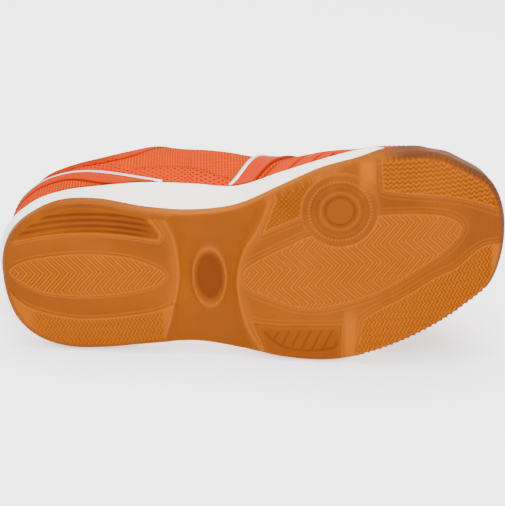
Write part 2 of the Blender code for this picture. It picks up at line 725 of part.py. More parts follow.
def solid_triangles(parts):
    """All triangles of the finished pieces, in millimetres, in the shoe's frame."""
    graph = bpy.context.evaluated_depsgraph_get()
    triangles = []
    for piece in parts.objects:
        mesh = piece.evaluated_get(graph).to_mesh()
        mesh.calc_loop_triangles()
        points = np.empty(3 * len(mesh.vertices))
        mesh.vertices.foreach_get("co", points)
        corners = np.empty(3 * len(mesh.loop_triangles), int)
        mesh.loop_triangles.foreach_get("vertices", corners)
        triangles.append(points.reshape(-1, 3)[corners].reshape(-1, 3, 3) / MM)
    return np.concatenate(triangles)


def resting_face(points, centre):
    """Outward normal of the hull's face on the outer side that carries the weight."""
    work = bmesh.new()
    for point in points:
        work.verts.new(point)
    bmesh.ops.convex_hull(work, input=work.verts)
    work.normal_update()
    best = None
    for face in work.faces:
        normal = np.array(face.normal)
        a, b, c = (np.array(v.co) for v in face.verts[:3])
        foot = centre - normal * np.dot(centre - a, normal)
        inside = [np.dot(np.cross(e - s, foot - s), normal) >= 0 for s, e in ((a, b), (b, c), (c, a))]
        if all(inside) and (best is None or normal[1] > best[1]):
            best = normal
    work.free()
    return best


def lay_down(parts, shoe):
    """Turn the shoe so that it rests on its outer side, toe along +X, box centred on the origin."""
    triangles = solid_triangles(parts)
    volume = np.einsum("ij,ij->i", triangles[:, 0], np.cross(triangles[:, 1], triangles[:, 2])) / 6
    centre = (triangles.sum(axis=1) / 4 * volume[:, None]).sum(axis=0) / volume.sum()
    points = np.unique(triangles.reshape(-1, 3).round(4), axis=0)
    up = -resting_face(points, centre)
    front = np.array((1.0, 0.0, 0.0))
    front = front - up * np.dot(front, up)
    front /= np.linalg.norm(front)
    turn = np.array([front, np.cross(up, front), up])
    laid = points @ turn.T
    low, high = laid.min(axis=0), laid.max(axis=0)
    move = -np.array([(low[0] + high[0]) / 2, (low[1] + high[1]) / 2, low[2]]) * MM
    shoe.matrix_world = Matrix.Translation(Vector(move)) @ Matrix(turn.tolist()).to_4x4()


def main():
    for old in list(bpy.data.objects):
        bpy.data.objects.remove(old)
    parts = bpy.data.collections.new("court_shoe")
    cutters = bpy.data.collections.new("cutters")
    bpy.context.scene.collection.children.link(parts)
    bpy.context.scene.collection.children.link(cutters)
    shoe = bpy.data.objects.new("shoe", None)
    bpy.context.scene.collection.objects.link(shoe)
    make_outsole(parts, cutters, shoe)
    make_midsole(parts, shoe)
    make_insole(parts, shoe)
    drills = make_eyelet_drills(cutters, shoe)
    make_upper(parts, drills, shoe)
    make_eyestay(parts, drills, shoe)
    make_heel_counter(parts, shoe)
    make_toe_guard(parts, shoe)
    make_quarter_strap(-1, "quarter_strap_inner", parts, shoe)
    make_quarter_strap(1, "quarter_strap_outer", parts, shoe)
    make_tongue(parts, shoe)
    make_lace(parts, cutters, shoe)
    lay_down(parts, shoe)


main()
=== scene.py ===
"""Looks of the court shoe: fine tread, foam, cloth, panels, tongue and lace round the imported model.

Every shape is worked out in the shoe's own frame, in millimetres: x runs from heel to toe, y towards
the outer side and z up from the tread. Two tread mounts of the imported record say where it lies.
"""
import json
import math
from types import SimpleNamespace

import bmesh
import bpy
import numpy as np
from bpy.props import FloatProperty, FloatVectorProperty, PointerProperty
from mathutils import Matrix


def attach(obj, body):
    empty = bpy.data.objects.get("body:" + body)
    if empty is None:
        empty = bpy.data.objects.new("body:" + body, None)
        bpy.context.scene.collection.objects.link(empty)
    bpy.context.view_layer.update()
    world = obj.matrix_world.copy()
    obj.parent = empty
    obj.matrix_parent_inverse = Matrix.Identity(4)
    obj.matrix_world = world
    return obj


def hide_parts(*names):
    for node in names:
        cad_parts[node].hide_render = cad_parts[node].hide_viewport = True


bl_info = {
    "name": "Court Shoe",
    "version": (1, 0, 0),
    "blender": (4, 5, 0),
    "location": "3D View > Sidebar > Shoe",
    "description": "Builds the visible pieces of a court shoe round its packed model",
    "category": "Object",
}

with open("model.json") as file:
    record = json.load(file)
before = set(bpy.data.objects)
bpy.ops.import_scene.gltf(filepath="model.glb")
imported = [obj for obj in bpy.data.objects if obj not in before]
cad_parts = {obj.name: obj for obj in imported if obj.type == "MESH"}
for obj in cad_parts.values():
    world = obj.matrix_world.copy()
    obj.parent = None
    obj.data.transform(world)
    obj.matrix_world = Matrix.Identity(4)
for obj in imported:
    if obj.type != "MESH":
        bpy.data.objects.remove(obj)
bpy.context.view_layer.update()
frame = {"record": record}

MM = 0.001

# Shoe-frame places of the two tread mounts
HEEL_POINT = (38.0, -1.0)
BALL_POINT = (140.0, 2.0)

# Sizes shared with the solids
LENGTH = 230.0
FOOT_GAP = 0.6
GUM_FLOOR = 5.0
GUM_WALL = 2.0
GUM_ROLL = (3.0, 3.6)
TOE_LEAN = 1.6
TOE_SEAT = 0.3
SEAT_GAP = 0.3
FOAM_LIP = 1.2
BAND_DEPTH = 1.0
SHANK_DEPTH = 3.0
UPPER_WALL = 2.2
UPPER_INSET = 1.7
HEEL_LEAN = 6.0
HEEL_ROUND = 1.5
HEEL_REACH = 0.4
CLIMB_MOST = 1.3
SIDE_FOOT = 0.08
END_FADE = 0.14
TOE_PINCH = (148.0, 185.0)
TOE_PINCH_DEPTH = 2.5
COLLAR_BACK = 80.0
THROAT_START = 72.0
OVERLAY_THICK = 1.1
PANEL_FOOT = 0.8
COUNTER_FRONT = 76.0
COUNTER_HEIGHT = 30.0
COUNTER_SWEEP = (10.0, 84.0)
GUARD_BACK = 150.0
GUARD_LOW = 2.0
GUARD_RISE = 12.0
GUARD_SWEEP = (148.0, 205.0)
GUARD_SHARE = 0.6
STRAP_X = 124.0
STRAP_WIDTH = 16.0
STRAP_TAPER = 4.0
STRAP_SLANT = 20.0
STRAP_FROM_THROAT = 17.0
TONGUE_THICK = 4.5
TONGUE_GAP = 1.1
TONGUE_CORNER = 10.0
TONGUE_ROUND = 0.75
INSOLE_THICK = 4.0
INSOLE_GAP = 1.0
EYESTAY_BACK = 84.0
EYESTAY_FRONT = 170.0
EYESTAY_SHARE = 0.25
EYELET_ROWS = 6
EYELET_FRONT = 147.0
EYELET_PITCH = 11.2
EYELET_RADIUS = 2.0
EYELET_FROM_EDGE = 7.0
LACE_WIDTH = 4.5
LACE_THICK = 1.5
LACE_DIP = 3.6

# Range over which the gum climbs round the toe
TOE_WRAP = (168.0, 186.0)


def table(columns, *rows):
    """A short table: a dictionary of named columns."""
    return dict(zip(columns, np.array(rows, float).T))


# Edge of the gum, edge of the foam's top, and the heights of tread, gum edge and foam top
SOLE = table(
    ("x", "gum_in", "gum_out", "foam_in", "foam_out", "tread_z", "gum_z", "foam_z"),
    (0, -2.0, -2.0, -2.0, -2.0, 6.5, 12.0, 28.5),
    (5, -20.0, 19.5, -19.0, 18.5, 2.2, 9.7, 28.0),
    (15, -29.4, 29.6, -28.0, 28.6, 0.2, 8.3, 27.5),
    (30, -35.4, 35.1, -32.9, 34.0, 0.0, 7.8, 27.0),
    (46, -35.1, 35.9, -34.4, 35.0, 0.0, 7.8, 27.0),
    (66, -30.2, 34.9, -35.0, 35.0, 0.0, 8.7, 27.5),
    (88, -27.7, 34.6, -33.8, 35.2, 0.0, 9.2, 26.7),
    (108, -29.8, 39.0, -33.0, 39.0, 0.0, 8.7, 24.0),
    (128, -38.4, 44.3, -39.8, 43.6, 0.0, 7.8, 21.2),
    (145, -45.8, 46.3, -45.4, 45.2, 0.0, 7.4, 19.5),
    (163, -50.5, 44.6, -50.0, 43.2, 0.0, 7.4, 18.8),
    (182, -52.9, 38.8, -52.0, 37.4, 1.1, 17.8, 19.3),
    (198, -50.9, 31.8, -49.8, 30.6, 3.5, 20.9, 21.2),
    (212, -42.8, 24.0, -41.8, 23.2, 7.5, 24.7, 25.0),
    (222, -35.0, 17.0, -34.2, 16.4, 11.5, 27.7, 28.0),
    (230, -10.0, -10.0, -10.0, -10.0, 17.0, 30.7, 31.0))

# Sections of the upper: crest, roundness of crown and side, swell of the inner and outer side
UPPER = table(
    ("x", "crest_z", "crest_y", "crown", "side", "swell_in", "swell_out"),
    (0, 123.0, -2.0, 2.0, 2.0, 0.5, 1.0),
    (28, 123.0, -4.0, 2.0, 2.1, -0.8, 1.5),
    (55, 118.0, -9.0, 2.0, 2.2, 2.0, 1.0),
    (82, 103.0, -4.0, 2.0, 2.4, 5.8, 1.0),
    (105, 92.0, -2.5, 2.0, 2.4, 6.8, 1.5),
    (128, 81.0, -4.0, 2.0, 2.1, -0.8, 1.5),
    (151, 71.0, -5.5, 2.0, 2.1, -1.7, 1.0),
    (174, 62.5, -7.0, 2.0, 2.0, -2.5, 0.8),
    (197, 56.0, -8.5, 2.1, 2.0, -1.2, 0.5),
    (215, 51.0, -10.0, 2.2, 2.1, 0.5, 0.3),
    (225, 45.5, -10.0, 2.2, 2.2, 0.0, 0.0),
    (230, 38.0, -10.0, 2.2, 2.2, 0.0, 0.0))

# Height of the collar edge and half width of the throat along the shoe
TOPLINE = table(
    ("x", "collar_z", "throat"),
    (0, COLLAR_BACK, 60.0),
    (9, 80.5, 58.0),
    (26, 74.0, 55.0),
    (46, 68.0, 48.0),
    (62, 70.5, 37.0),
    (77, 82.0, 18.5),
    (88, 96.0, 15.5),
    (101, 135.0, 14.0),
    (115, 145.0, 12.5),
    (138, 145.0, 9.2),
    (150, 145.0, 6.0),
    (156, 145.0, 0.0),
    (230, 145.0, 0.0))

# Half width of the tongue along the shoe
TONGUE = table(
    ("x", "width"),
    (71, 22.0),
    (90, 22.5),
    (168, 15.0))

# Tread patches: points (x, y) of closed curves; two points close together make a corner
LUGS = {
    "heel_rib": ((0, -13), (6, -16.6), (18.5, -19.8), (36.5, -20.6), (54.5, -19), (70, -16), (72.6, -16.4),
                 (73.5, -20.5), (67, -29), (56, -35.5), (40, -38.5), (20, -37), (0, -30)),
    "heel_lens": ((4.2, -4.5), (9.5, -8.2), (20, -10.7), (38, -11.7), (56, -9.5), (68, -5.2), (74, -1),
                  (74, 2.6), (69, 5.8), (56, 8.8), (38, 9.6), (20, 7.4), (9.5, 2.4), (4.2, -1.5)),
    "heel_side": ((0, 4.5), (5.5, 9), (11.3, 13.3), (18.5, 16.2), (28, 18.8), (39, 20.2), (54.5, 19.5),
                  (69, 17.6), (79, 14.6), (80, 22), (76, 34), (72, 48), (30, 52), (0, 44)),
    "ball_wedge": ((118.6, -18.3), (118.8, -19.4), (121.5, -26), (126, -37), (131, -46), (138, -53),
                   (147, -54), (150, -40), (150, -30), (148, -28), (135.8, -24.6), (119.6, -18.3)),
    "ball_field": ((108.8, 4.5), (110.3, -1.5), (118, -6.2), (128, -11), (139.4, -16.2), (150, -21),
                   (162, -24.4), (172.7, -25), (191.5, -24), (203.5, -20.8), (209, -15.5), (206.4, -9),
                   (195.1, -0.7), (182.5, 6.8), (171.8, 12.5), (155.6, 17.6), (142, 20), (132, 18.4),
                   (124, 15.1), (113.3, 10)),
    "ball_side": ((113.8, 26.6), (114.8, 26.4), (125, 27.8), (140, 28.5), (152.3, 28.9), (153.2, 29.6),
                  (152.6, 42), (152, 58), (130, 58), (119, 40)),
    "toe_in": ((171.8, -60), (172.2, -48), (172.6, -38), (173, -36.2), (174.6, -35.5), (182.5, -33.9),
               (200.5, -30.8), (212, -27.3), (223, -22.3), (236, -18), (232, -48), (200, -64)),
    "toe_out": ((161, 46), (161.4, 35), (162.6, 27), (164.2, 25), (169.1, 21.8), (182.5, 15.5), (195.1, 8.3),
                (205.9, 4.4), (213.1, -0.8), (218.5, -3.8), (224, -4.2), (237, -2), (238, 12), (210, 46),
                (180, 58)),
}
SMOOTH_PATCH = "ball_side"
# Painted shade on some patches, as a share of the groove colour
PATCH_SHADE = (("heel_rib", 0.7), ("ball_side", 0.35), ("ball_wedge", 0.2), ("heel_side", 0.15))
CURVE_STEPS = 6

# Ranges over which patches rise and grooves start, lines round the patches, and flex strips between them
PATCH_EDGE = (-0.3, 0.4)
GROOVE_EDGE = (0.5, 1.3)
BEAD_WIDTH = 0.42
BEAD_OUT = 0.7
BEAD_SWEEP = (3.0, 9.0)
OUTER_BEAD_OUT = 2.6
OUTER_BEAD_SWEEP = (108.0, 116.0)
GLINT_HEIGHT = 0.15
FLEX_DEPTH = 0.5
OUTER_FLEX = ((153.0, 156.5), (158.5, 162.0))
OUTER_FLEX_SWEEP = (17.0, 30.0)
INNER_FLEX = ((161.0, 164.5), (168.0, 171.5))
INNER_FLEX_SWEEP = (31.0, 44.0)
FINE_LINES_SWEEP = (168.0, 174.0)
TIP_FADE = (219.0, 226.0)
TIP_SHARE = 0.7

# Pivot disc, with the share, radius and width of each of its rings
PIVOT = (153.7, -27.5)
PIVOT_RADIUS = 17.3
PIVOT_GROOVES = ((1.0, 6.6, 0.6), (0.5, 10.6, 0.4), (0.45, 12.9, 0.35))
PIVOT_BEADS = ((0.5, 8.8, 0.4), (0.8, PIVOT_RADIUS + 0.2, 0.5))
PIVOT_DOTS = (1.2, 14.0, 0.5)
PIVOT_DOT_COUNT = 54

# Hollow of the shank, its ramp, bead and painted glow with share, place and width, and the plain oval in it
SHANK = ((69, 48), (72, 32), (75.5, 21.4), (79, 7), (79.9, -1), (78.6, -14.7), (74.5, -26), (68, -46),
         (68, -50), (131, -50), (130, -47), (125, -38), (118, -21), (111, -10), (108, 0), (107.3, 9),
         (109, 20), (112.5, 31), (119, 42), (122, 48))
OVAL = (94.2, 2.5)
OVAL_HALF = (8.4, 16.0)
OVAL_RIM = 2.0
OVAL_RIM_SHARE = 0.67
SHANK_RAMP = 3.0
SHANK_RAMP_SWEEP = (10.0, 24.0)
SHANK_BEAD = (0.9, -0.4, 0.55)
SHANK_GLOW = (0.35, 0.5, 2.6)

# Patterns of the patches: sharpness of the grooves, ribs, slits, zigzags with the slope and half length of
# a leg, and chevrons
FINE_GROOVE = 1.3
BROAD_GROOVE = 1.5
SLIT_GROOVE = 9.0
RIB_CENTRE = (37.0, -22.3)
RIB_BOW = 0.0042
RIB_LAST = 11.4
RIB_LAST_WIDTH = 0.8
RIB_PITCH = 2.77
RIB_COUNT = 3.5
RIB_SPAN = ((5.0, 16.0), (61.0, 72.0))
SIDE_SLITS = ((117.8, 26.0), (118.2, 30.0), (124.1, 36.3), (131.0, 39.4), (140.3, 40.3), (148.0, 39.6),
              (152.0, 37.2), (152.8, 31.8), (152.6, 26.0))
SLIT_TOP = 30.2
SLIT_PITCH = 5.0
SLIT_SLANT = 0.5
SLIT_PLACE = (123.0, 33.0)
UPRIGHT_ZIGZAG = (0.85, 1.95)
LENGTHWISE_ZIGZAG = (0.95, 1.27)
LENGTHWISE_STRETCH = 1.2
HEEL_ZIGZAG_SHARE = 0.85
HEEL_ZIGZAG_SPAN = ((10.0, 16.0), (71.5, 73.0))
TOE_ZIGZAG_SHARE = 1.3
TOE_ZIGZAG_END = 225.0
WEDGE_PITCH = 2.2
CHEVRON_HALF = 8.7
CHEVRON_LEG = 0.92
LENS_MIDDLE = -2.6
FIELD_MIDDLE = (141.8, -0.73)
FIELD_TILT = 0.052

# Camera fitted to the photograph: tilt off the tread's normal, roll, distance and target in the shoe's frame
CAMERA_TILT = math.radians(22.0)
CAMERA_ROLL = math.radians(-2.1)
CAMERA_DISTANCE = 900.0
CAMERA_TARGET = (114.0, -9.0, 0.0)
CAMERA_PIXELS_PER_MM = 2.225
PHOTO_LONG_SIDE = 506
SENSOR = 36.0

# Studio: half size of the floor, strength of the sky, and each lamp's name, place, size and power
FLOOR_HALF = 6.0
SKY_STRENGTH = 0.85
LAMP_TARGET = (0.0, 0.0, 0.05)
LAMPS = (("key", (-0.15, -0.9, 0.9), 0.9, 17.0),
         ("fill", (0.8, -0.8, 0.5), 0.8, 5.0),
         ("top", (0.0, 0.2, 1.2), 1.0, 36.0))

# Darker tones of the plain finishes
FOAM_SHADE = (0.7, 0.68, 0.66, 1.0)
SOCK_SHADE = (0.015, 0.015, 0.017, 1.0)
TRIM_SHADE = (0.5, 0.5, 0.52, 1.0)
NOISE_DETAIL = 3.0
WEAVE_STRETCH = 1.15


# Settings

def length_setting(name, description, default, least, most):
    """A length property of the settings, given here in millimetres and kept in metres."""
    return FloatProperty(name=name, description=description, default=default * MM, min=least * MM,
                         max=most * MM, precision=5, subtype="DISTANCE", unit="LENGTH")


class CourtShoeSizes(bpy.types.PropertyGroup):
    """Sizes of the fine detail."""
    chevron_pitch: length_setting(
        "Chevron pitch", "Distance between chevron grooves along the shoe", 1.86, 1.0, 4.0)
    zigzag_pitch: length_setting("Zigzag pitch", "Distance between zigzag grooves", 1.8, 1.0, 4.0)
    groove_depth: length_setting("Groove depth", "Depth of the fine tread grooves", 0.48, 0.1, 1.5)
    bead_height: length_setting(
        "Bead height", "Height of the thin lines round the tread patches", 0.28, 0.0, 1.0)
    tooth_pitch: length_setting(
        "Tooth pitch", "Distance between the teeth of the outer front edge", 2.8, 1.5, 6.0)
    stitch_pitch: length_setting("Stitch pitch", "Distance between stitches", 2.4, 1.5, 5.0)
    thread_pitch: length_setting("Thread pitch", "Length of two threads of the upper's mesh", 2.9, 0.5, 6.0)


def millimetres(scene):
    """The sizes of the settings in millimetres, by name."""
    sizes = scene.court_shoe_sizes
    return SimpleNamespace(**{name: getattr(sizes, name) / MM for name in CourtShoeSizes.__annotations__})


def colour_setting(name, description, default):
    """A colour property of the settings."""
    return FloatVectorProperty(name=name, description=description, subtype="COLOR", size=4, min=0.0, max=1.0,
                               default=(*default, 1.0))


class CourtShoeColours(bpy.types.PropertyGroup):
    """Colours of the finishes, in linear light."""
    gum_patch: colour_setting("Gum patch", "Patterned faces of the tread", (0.31, 0.074, 0.001))
    gum_band: colour_setting("Gum band", "Smooth bands of the tread", (0.18, 0.044, 0.004))
    # Darker gum for the clouds and fine lines, and painted shade in the grooves, on some patches and inside
    # the oval
    gum_deep_and_shade: colour_setting("Gum groove", "Bottom of the tread grooves", (0.098, 0.021, 0.004))
    # Paler gum as a painted highlight on the beads, the oval's rim, the disc's dots and every second chevron
    # ridge
    gum_bead_highlight: colour_setting("Gum bead", "Thin raised lines of the tread", (0.33, 0.084, 0.009))
    # Paler gum of the flex strips, also used for the painted glow along the shank's edge and the gum wall at
    # the waist
    gum_flex_and_glow: colour_setting("Gum flex strip", "Flex strips beside the ball", (0.345, 0.085, 0.0))
    # Darker gum as painted shade on the wall of the toe wrap
    gum_rim_shade: colour_setting("Gum rim", "Wall of the toe wrap", (0.085, 0.028, 0.011))
    foam: colour_setting("Foam", "Midsole", (0.94, 0.905, 0.85))
    cloth: colour_setting("Cloth", "Mesh cloth of the upper", (0.62, 0.052, 0.0))
    panel: colour_setting("Panel", "Smooth panels of the upper", (0.43, 0.025, 0.0))
    seam: colour_setting("Seam", "Folded edges and seams", (0.12, 0.004, 0.0))
    piping: colour_setting("Piping", "Thin trim on the panel edges", (0.72, 0.72, 0.74))
    lining: colour_setting("Lining", "Inside of the upper", (0.42, 0.032, 0.0))
    sock: colour_setting("Sock", "Top of the insole", (0.045, 0.045, 0.05))
    lace: colour_setting("Lace", "Lace", (0.55, 0.04, 0.0))
    floor: colour_setting("Floor", "Studio floor", (0.95, 0.95, 0.95))


# The shoe's frame

def unit(vectors):
    """Vectors brought to length 1."""
    return vectors / np.linalg.norm(vectors, axis=-1, keepdims=True)


def shoe_axes(record):
    """Origin and axes of the shoe's frame: the tread's normal gives z, the two tread mounts give x."""
    mounts = {mount["name"]: mount for mount in record["mounts"]}
    heel, ball = (np.array(mounts[name]["pos_m"]) for name in ("tread_heel", "tread_ball"))
    up = unit(-np.array(mounts["tread_heel"]["axis"]))
    span = ball - heel
    span = unit(span - up * np.dot(span, up))
    turn = math.atan2(BALL_POINT[1] - HEEL_POINT[1], BALL_POINT[0] - HEEL_POINT[0])
    front = span * math.cos(turn) - np.cross(up, span) * math.sin(turn)
    side = np.cross(up, front)
    origin = heel - MM * (HEEL_POINT[0] * front + HEEL_POINT[1] * side)
    return origin, np.array([front, side, up])


ORIGIN, AXES = shoe_axes(frame["record"])


def to_row(points):
    """Points of the shoe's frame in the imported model's frame, in metres."""
    return ORIGIN + MM * np.asarray(points, float) @ AXES


# Curves and the last

def station(x):
    """Cosine station from 0 at the heel to 1 at the toe, which keeps both ends round."""
    return np.arccos(np.clip(1.0 - 2.0 * np.asarray(x, float) / LENGTH, -1.0, 1.0)) / np.pi


def along(q):
    """Distance from the heel at a cosine station."""
    return LENGTH * (1.0 - np.cos(np.pi * np.asarray(q, float))) / 2.0


def read(rows, name, q):
    """A column of a table at station q, by cubic pieces through its rows."""
    knots, values = station(rows["x"]), rows[name]
    slopes = np.gradient(values, knots)
    i = np.clip(np.searchsorted(knots, q, side="right") - 1, 0, len(knots) - 2)
    step = knots[i + 1] - knots[i]
    a = np.clip((q - knots[i]) / step, 0.0, 1.0)
    return ((1 + 2 * a) * (1 - a) ** 2 * values[i] + a * (1 - a) ** 2 * step * slopes[i]
            + a * a * (3 - 2 * a) * values[i + 1] + a * a * (a - 1) * step * slopes[i + 1])


def smooth_step(x, low, high):
    """0 below low, 1 above high, and a soft rise between."""
    t = np.clip((np.asarray(x, float) - low) / (high - low), 0.0, 1.0)
    return t * t * (3.0 - 2.0 * t)


def window(x, opening, closing):
    """1 between two places, with a soft rise over the opening range and a soft fall over the closing one."""
    return smooth_step(x, *opening) * smooth_step(closing[1] - x, 0.0, closing[1] - closing[0])


def ridge(x, width):
    """A bell of height 1 at 0."""
    return np.exp(-(np.asarray(x, float) / width) ** 2)


def fold(x, half):
    """Triangle wave: distance to the nearest even multiple of half."""
    return np.abs((x + half) % (2 * half) - half)


def sole_height(name, x):
    """A height column of the sole at x."""
    return read(SOLE, name, station(x))


def tread_height(x):
    """Height of the tread: flat from heel to ball and rising at both ends."""
    return np.maximum(sole_height("tread_z", x), 0.0)


def toe_wrap(x):
    """1 where the gum wraps the toe and covers the foam's side, 0 behind it."""
    return smooth_step(x, *TOE_WRAP)


def toe_pinch(x):
    """How much further the upper stands in from the foam's edge at the toe."""
    return TOE_PINCH_DEPTH * smooth_step(x, *TOE_PINCH)


def foot_height(q):
    """Height of the upper's feather edge."""
    return read(SOLE, "foam_z", q) + FOOT_GAP


def fold_ends(q, psi):
    """Bring stations past the heel or toe back, on the other side of the shoe."""
    q, psi = np.broadcast_arrays(np.asarray(q, float), np.asarray(psi, float))
    psi = np.where((q < 0.0) | (q > 1.0), -psi, psi)
    return np.where(q < 0.0, -q, np.where(q > 1.0, 2.0 - q, q)), psi


def last_point(q, psi):
    """Point of the upper's outer face at station q and angle psi.

    Each section is a leaning superellipse between its crest and the foam's edge, with a swell half-way up.
    psi is 0 on the crest, -90 degrees on the inner and +90 on the outer feather edge.
    """
    q, psi = fold_ends(q, psi)
    side = np.where(psi < 0.0, -1.0, 1.0)
    turn = np.minimum(np.abs(psi), np.pi / 2)
    fade = smooth_step(np.minimum(q, 1.0 - q), 0.0, END_FADE)
    inner, outer = read(SOLE, "foam_in", q), read(SOLE, "foam_out", q)
    middle = (inner + outer) / 2
    half = (outer - inner) / 2 - (UPPER_INSET + toe_pinch(along(q))) * fade
    foot = foot_height(q)
    level = np.cos(turn) ** (2.0 / read(UPPER, "crown", q))
    swell = np.where(side < 0, read(UPPER, "swell_in", q), read(UPPER, "swell_out", q))
    width = half * np.sin(turn) ** (2.0 / read(UPPER, "side", q)) + swell * fade * np.sin(np.pi * level) ** 2
    z = foot + (read(UPPER, "crest_z", q) - foot) * level
    drift = level ** 2 / (level + SIDE_FOOT) * (1.0 + SIDE_FOOT)
    y = middle + (read(UPPER, "crest_y", q) - middle) * drift + side * width
    climb = np.clip((z - foot) / (COLLAR_BACK - foot), 0.0, CLIMB_MOST)
    lean = HEEL_LEAN * climb ** 2 - HEEL_ROUND * np.sin(np.pi * np.minimum(climb, 1.0)) ** 2
    heel = np.clip(1.0 - q / HEEL_REACH, 0.0, 1.0) ** 2
    x = UPPER_INSET + along(q) * (1.0 - 2.0 * UPPER_INSET / LENGTH) + lean * heel
    return np.stack([x, y, z], axis=-1)


def last_normal(q, psi):
    """Outward unit normal of the last, from central differences."""
    dq, dpsi = 0.004, 0.02
    q, psi = fold_ends(q, psi)
    q = np.clip(q, 0.0, 1.0 - dq / 2)
    psi = np.clip(psi, -np.pi / 2 + dpsi, np.pi / 2 - dpsi)
    along_q = last_point(q + dq, psi) - last_point(q - dq, psi)
    round_foot = last_point(q, psi + dpsi) - last_point(q, psi - dpsi)
    return unit(np.cross(along_q, round_foot))


def shell(q, psi, out):
    """Point at a distance outside the last."""
    return last_point(q, psi) + np.asarray(out, float)[..., None] * last_normal(q, psi)


def turn_at_width(q, width):
    """Angle from the crest at a half width across the shoe."""
    half = (read(SOLE, "foam_out", q) - read(SOLE, "foam_in", q)) / 2 - UPPER_INSET
    share = np.clip(width / np.maximum(half, 1e-6), 0.0, 1.0)
    return np.arcsin(share ** (read(UPPER, "side", q) / 2))


def turn_at_height(q, z):
    """Angle from the crest at a height above the tread plane."""
    foot = foot_height(q)
    share = np.clip((z - foot) / (read(UPPER, "crest_z", q) - foot), 0.0, 1.0)
    return np.arccos(share ** (read(UPPER, "crown", q) / 2))


def topline_turn(q):
    """Angle from the crest of the upper's free edge: the collar, then the throat, then closed."""
    collar = turn_at_height(q, read(TOPLINE, "collar_z", q))
    throat = turn_at_width(q, np.maximum(read(TOPLINE, "throat", q), 0.0))
    return np.maximum(collar, np.where(along(q) < THROAT_START, 0.0, throat))


def eyelet_place(row):
    """Station and angle from the crest of one row of eyelets, row 0 at the front."""
    q = station(EYELET_FRONT - row * EYELET_PITCH)
    return q, turn_at_width(q, read(TOPLINE, "throat", q) + EYELET_FROM_EDGE)


# Meshes

WELD = 0.02
FINE_WELD = 0.005


def grid_quads(rows, columns, start=0, close=False):
    """Faces of a grid of rows by columns points, pointing along d(row) x d(column)."""
    across = columns if close else columns - 1
    i, j = np.meshgrid(np.arange(rows - 1), np.arange(across), indexing="ij")
    k = (j + 1) % columns
    a, b = i * columns, (i + 1) * columns
    return start + np.stack([a + j, b + j, b + k, a + k], axis=-1).reshape(-1, 4)


def finish_piece(piece, material, nodes=()):
    """Give a piece its finish, let it ride on the shoe and hide the solids that it takes the place of."""
    piece.data.materials.append(material)
    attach(piece, "root")
    if nodes:
        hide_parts(*nodes)


def make_mesh(name, points, faces, values=None, uv=None, weld=WELD, sharp=60.0):
    """Object from points of the shoe's frame, with point values, a cloth map and merged doubles."""
    mesh = bpy.data.meshes.new(name)
    points = np.asarray(points, float).reshape(-1, 3)
    mesh.from_pydata(to_row(points).tolist(), [], [list(face) for face in faces])
    for key, value in (values or {}).items():
        layer = mesh.attributes.new(key, "FLOAT", "POINT")
        layer.data.foreach_set("value", np.asarray(value, np.float32).ravel())
    if uv is not None:
        corners = np.empty(len(mesh.loops), np.int32)
        mesh.loops.foreach_get("vertex_index", corners)
        flat = np.asarray(uv, np.float32).reshape(-1, 2)[corners]
        mesh.uv_layers.new(name="cloth").data.foreach_set("uv", flat.ravel())
    work = bmesh.new()
    work.from_mesh(mesh)
    bmesh.ops.remove_doubles(work, verts=work.verts, dist=weld * MM)
    bmesh.ops.dissolve_degenerate(work, edges=work.edges, dist=weld / 4 * MM)
    loose = [point for point in work.verts if not point.link_faces]
    bmesh.ops.delete(work, geom=loose, context="VERTS")
    work.to_mesh(mesh)
    work.free()
    mesh.shade_smooth()
    mesh.set_sharp_from_angle(angle=math.radians(sharp))
    mesh.update()
    piece = bpy.data.objects.new(name, mesh)
    bpy.context.scene.collection.objects.link(piece)
    return piece


def sweep(path, one, two, a, b):
    """Grid of points round a path: each path point moved by a along one direction and by b along another."""
    return path[:, None] + one[:, None] * a[..., None] + two[:, None] * b[..., None]


def arc_lengths(points, axis):
    """Running length along one axis of a grid of points."""
    steps = np.linalg.norm(np.diff(points, axis=axis), axis=-1)
    zero = np.zeros_like(np.take(steps, [0], axis=axis))
    return np.concatenate([zero, np.cumsum(steps, axis=axis)], axis=axis)


# Materials

def start_material(name, **sockets):
    """Material with a Principled shader whose plain values are set on its own sockets."""
    material = bpy.data.materials.new(name)
    material.use_nodes = True
    tree = material.node_tree
    shader = tree.nodes["Principled BSDF"]
    for key, value in sockets.items():
        shader.inputs[key.replace("_", " ")].default_value = value
    return material, tree, shader


def add(tree, kind, inputs=None, **settings):
    """A node with its settings and its inputs, given as values or as sockets to link."""
    node = tree.nodes.new(kind)
    for key, value in settings.items():
        setattr(node, key, value)
    for key, value in (inputs or {}).items():
        if isinstance(value, bpy.types.NodeSocket):
            tree.links.new(value, node.inputs[key])
        else:
            node.inputs[key].default_value = value
    return node


def mask(tree, name):
    """Point value of the mesh as a socket."""
    return add(tree, "ShaderNodeAttribute", attribute_name=name).outputs["Fac"]


def mix(tree, share, low, high):
    """Colour between two colours by a share."""
    return add(tree, "ShaderNodeMix", {0: share, 6: low, 7: high}, data_type="RGBA").outputs[2]


def maths(tree, operation, *values):
    """One arithmetic step on values or sockets."""
    return add(tree, "ShaderNodeMath", dict(enumerate(values)), operation=operation).outputs[0]


def object_noise(tree, scale):
    """Noise on the piece's own coordinates."""
    place = add(tree, "ShaderNodeTexCoord").outputs["Object"]
    inputs = {"Vector": place, "Scale": scale, "Detail": NOISE_DETAIL}
    return add(tree, "ShaderNodeTexNoise", inputs).outputs["Fac"]


def cloud(tree, scale, most):
    """Noise on the piece's own coordinates, brought down to a small share."""
    return maths(tree, "MULTIPLY", object_noise(tree, scale), most)


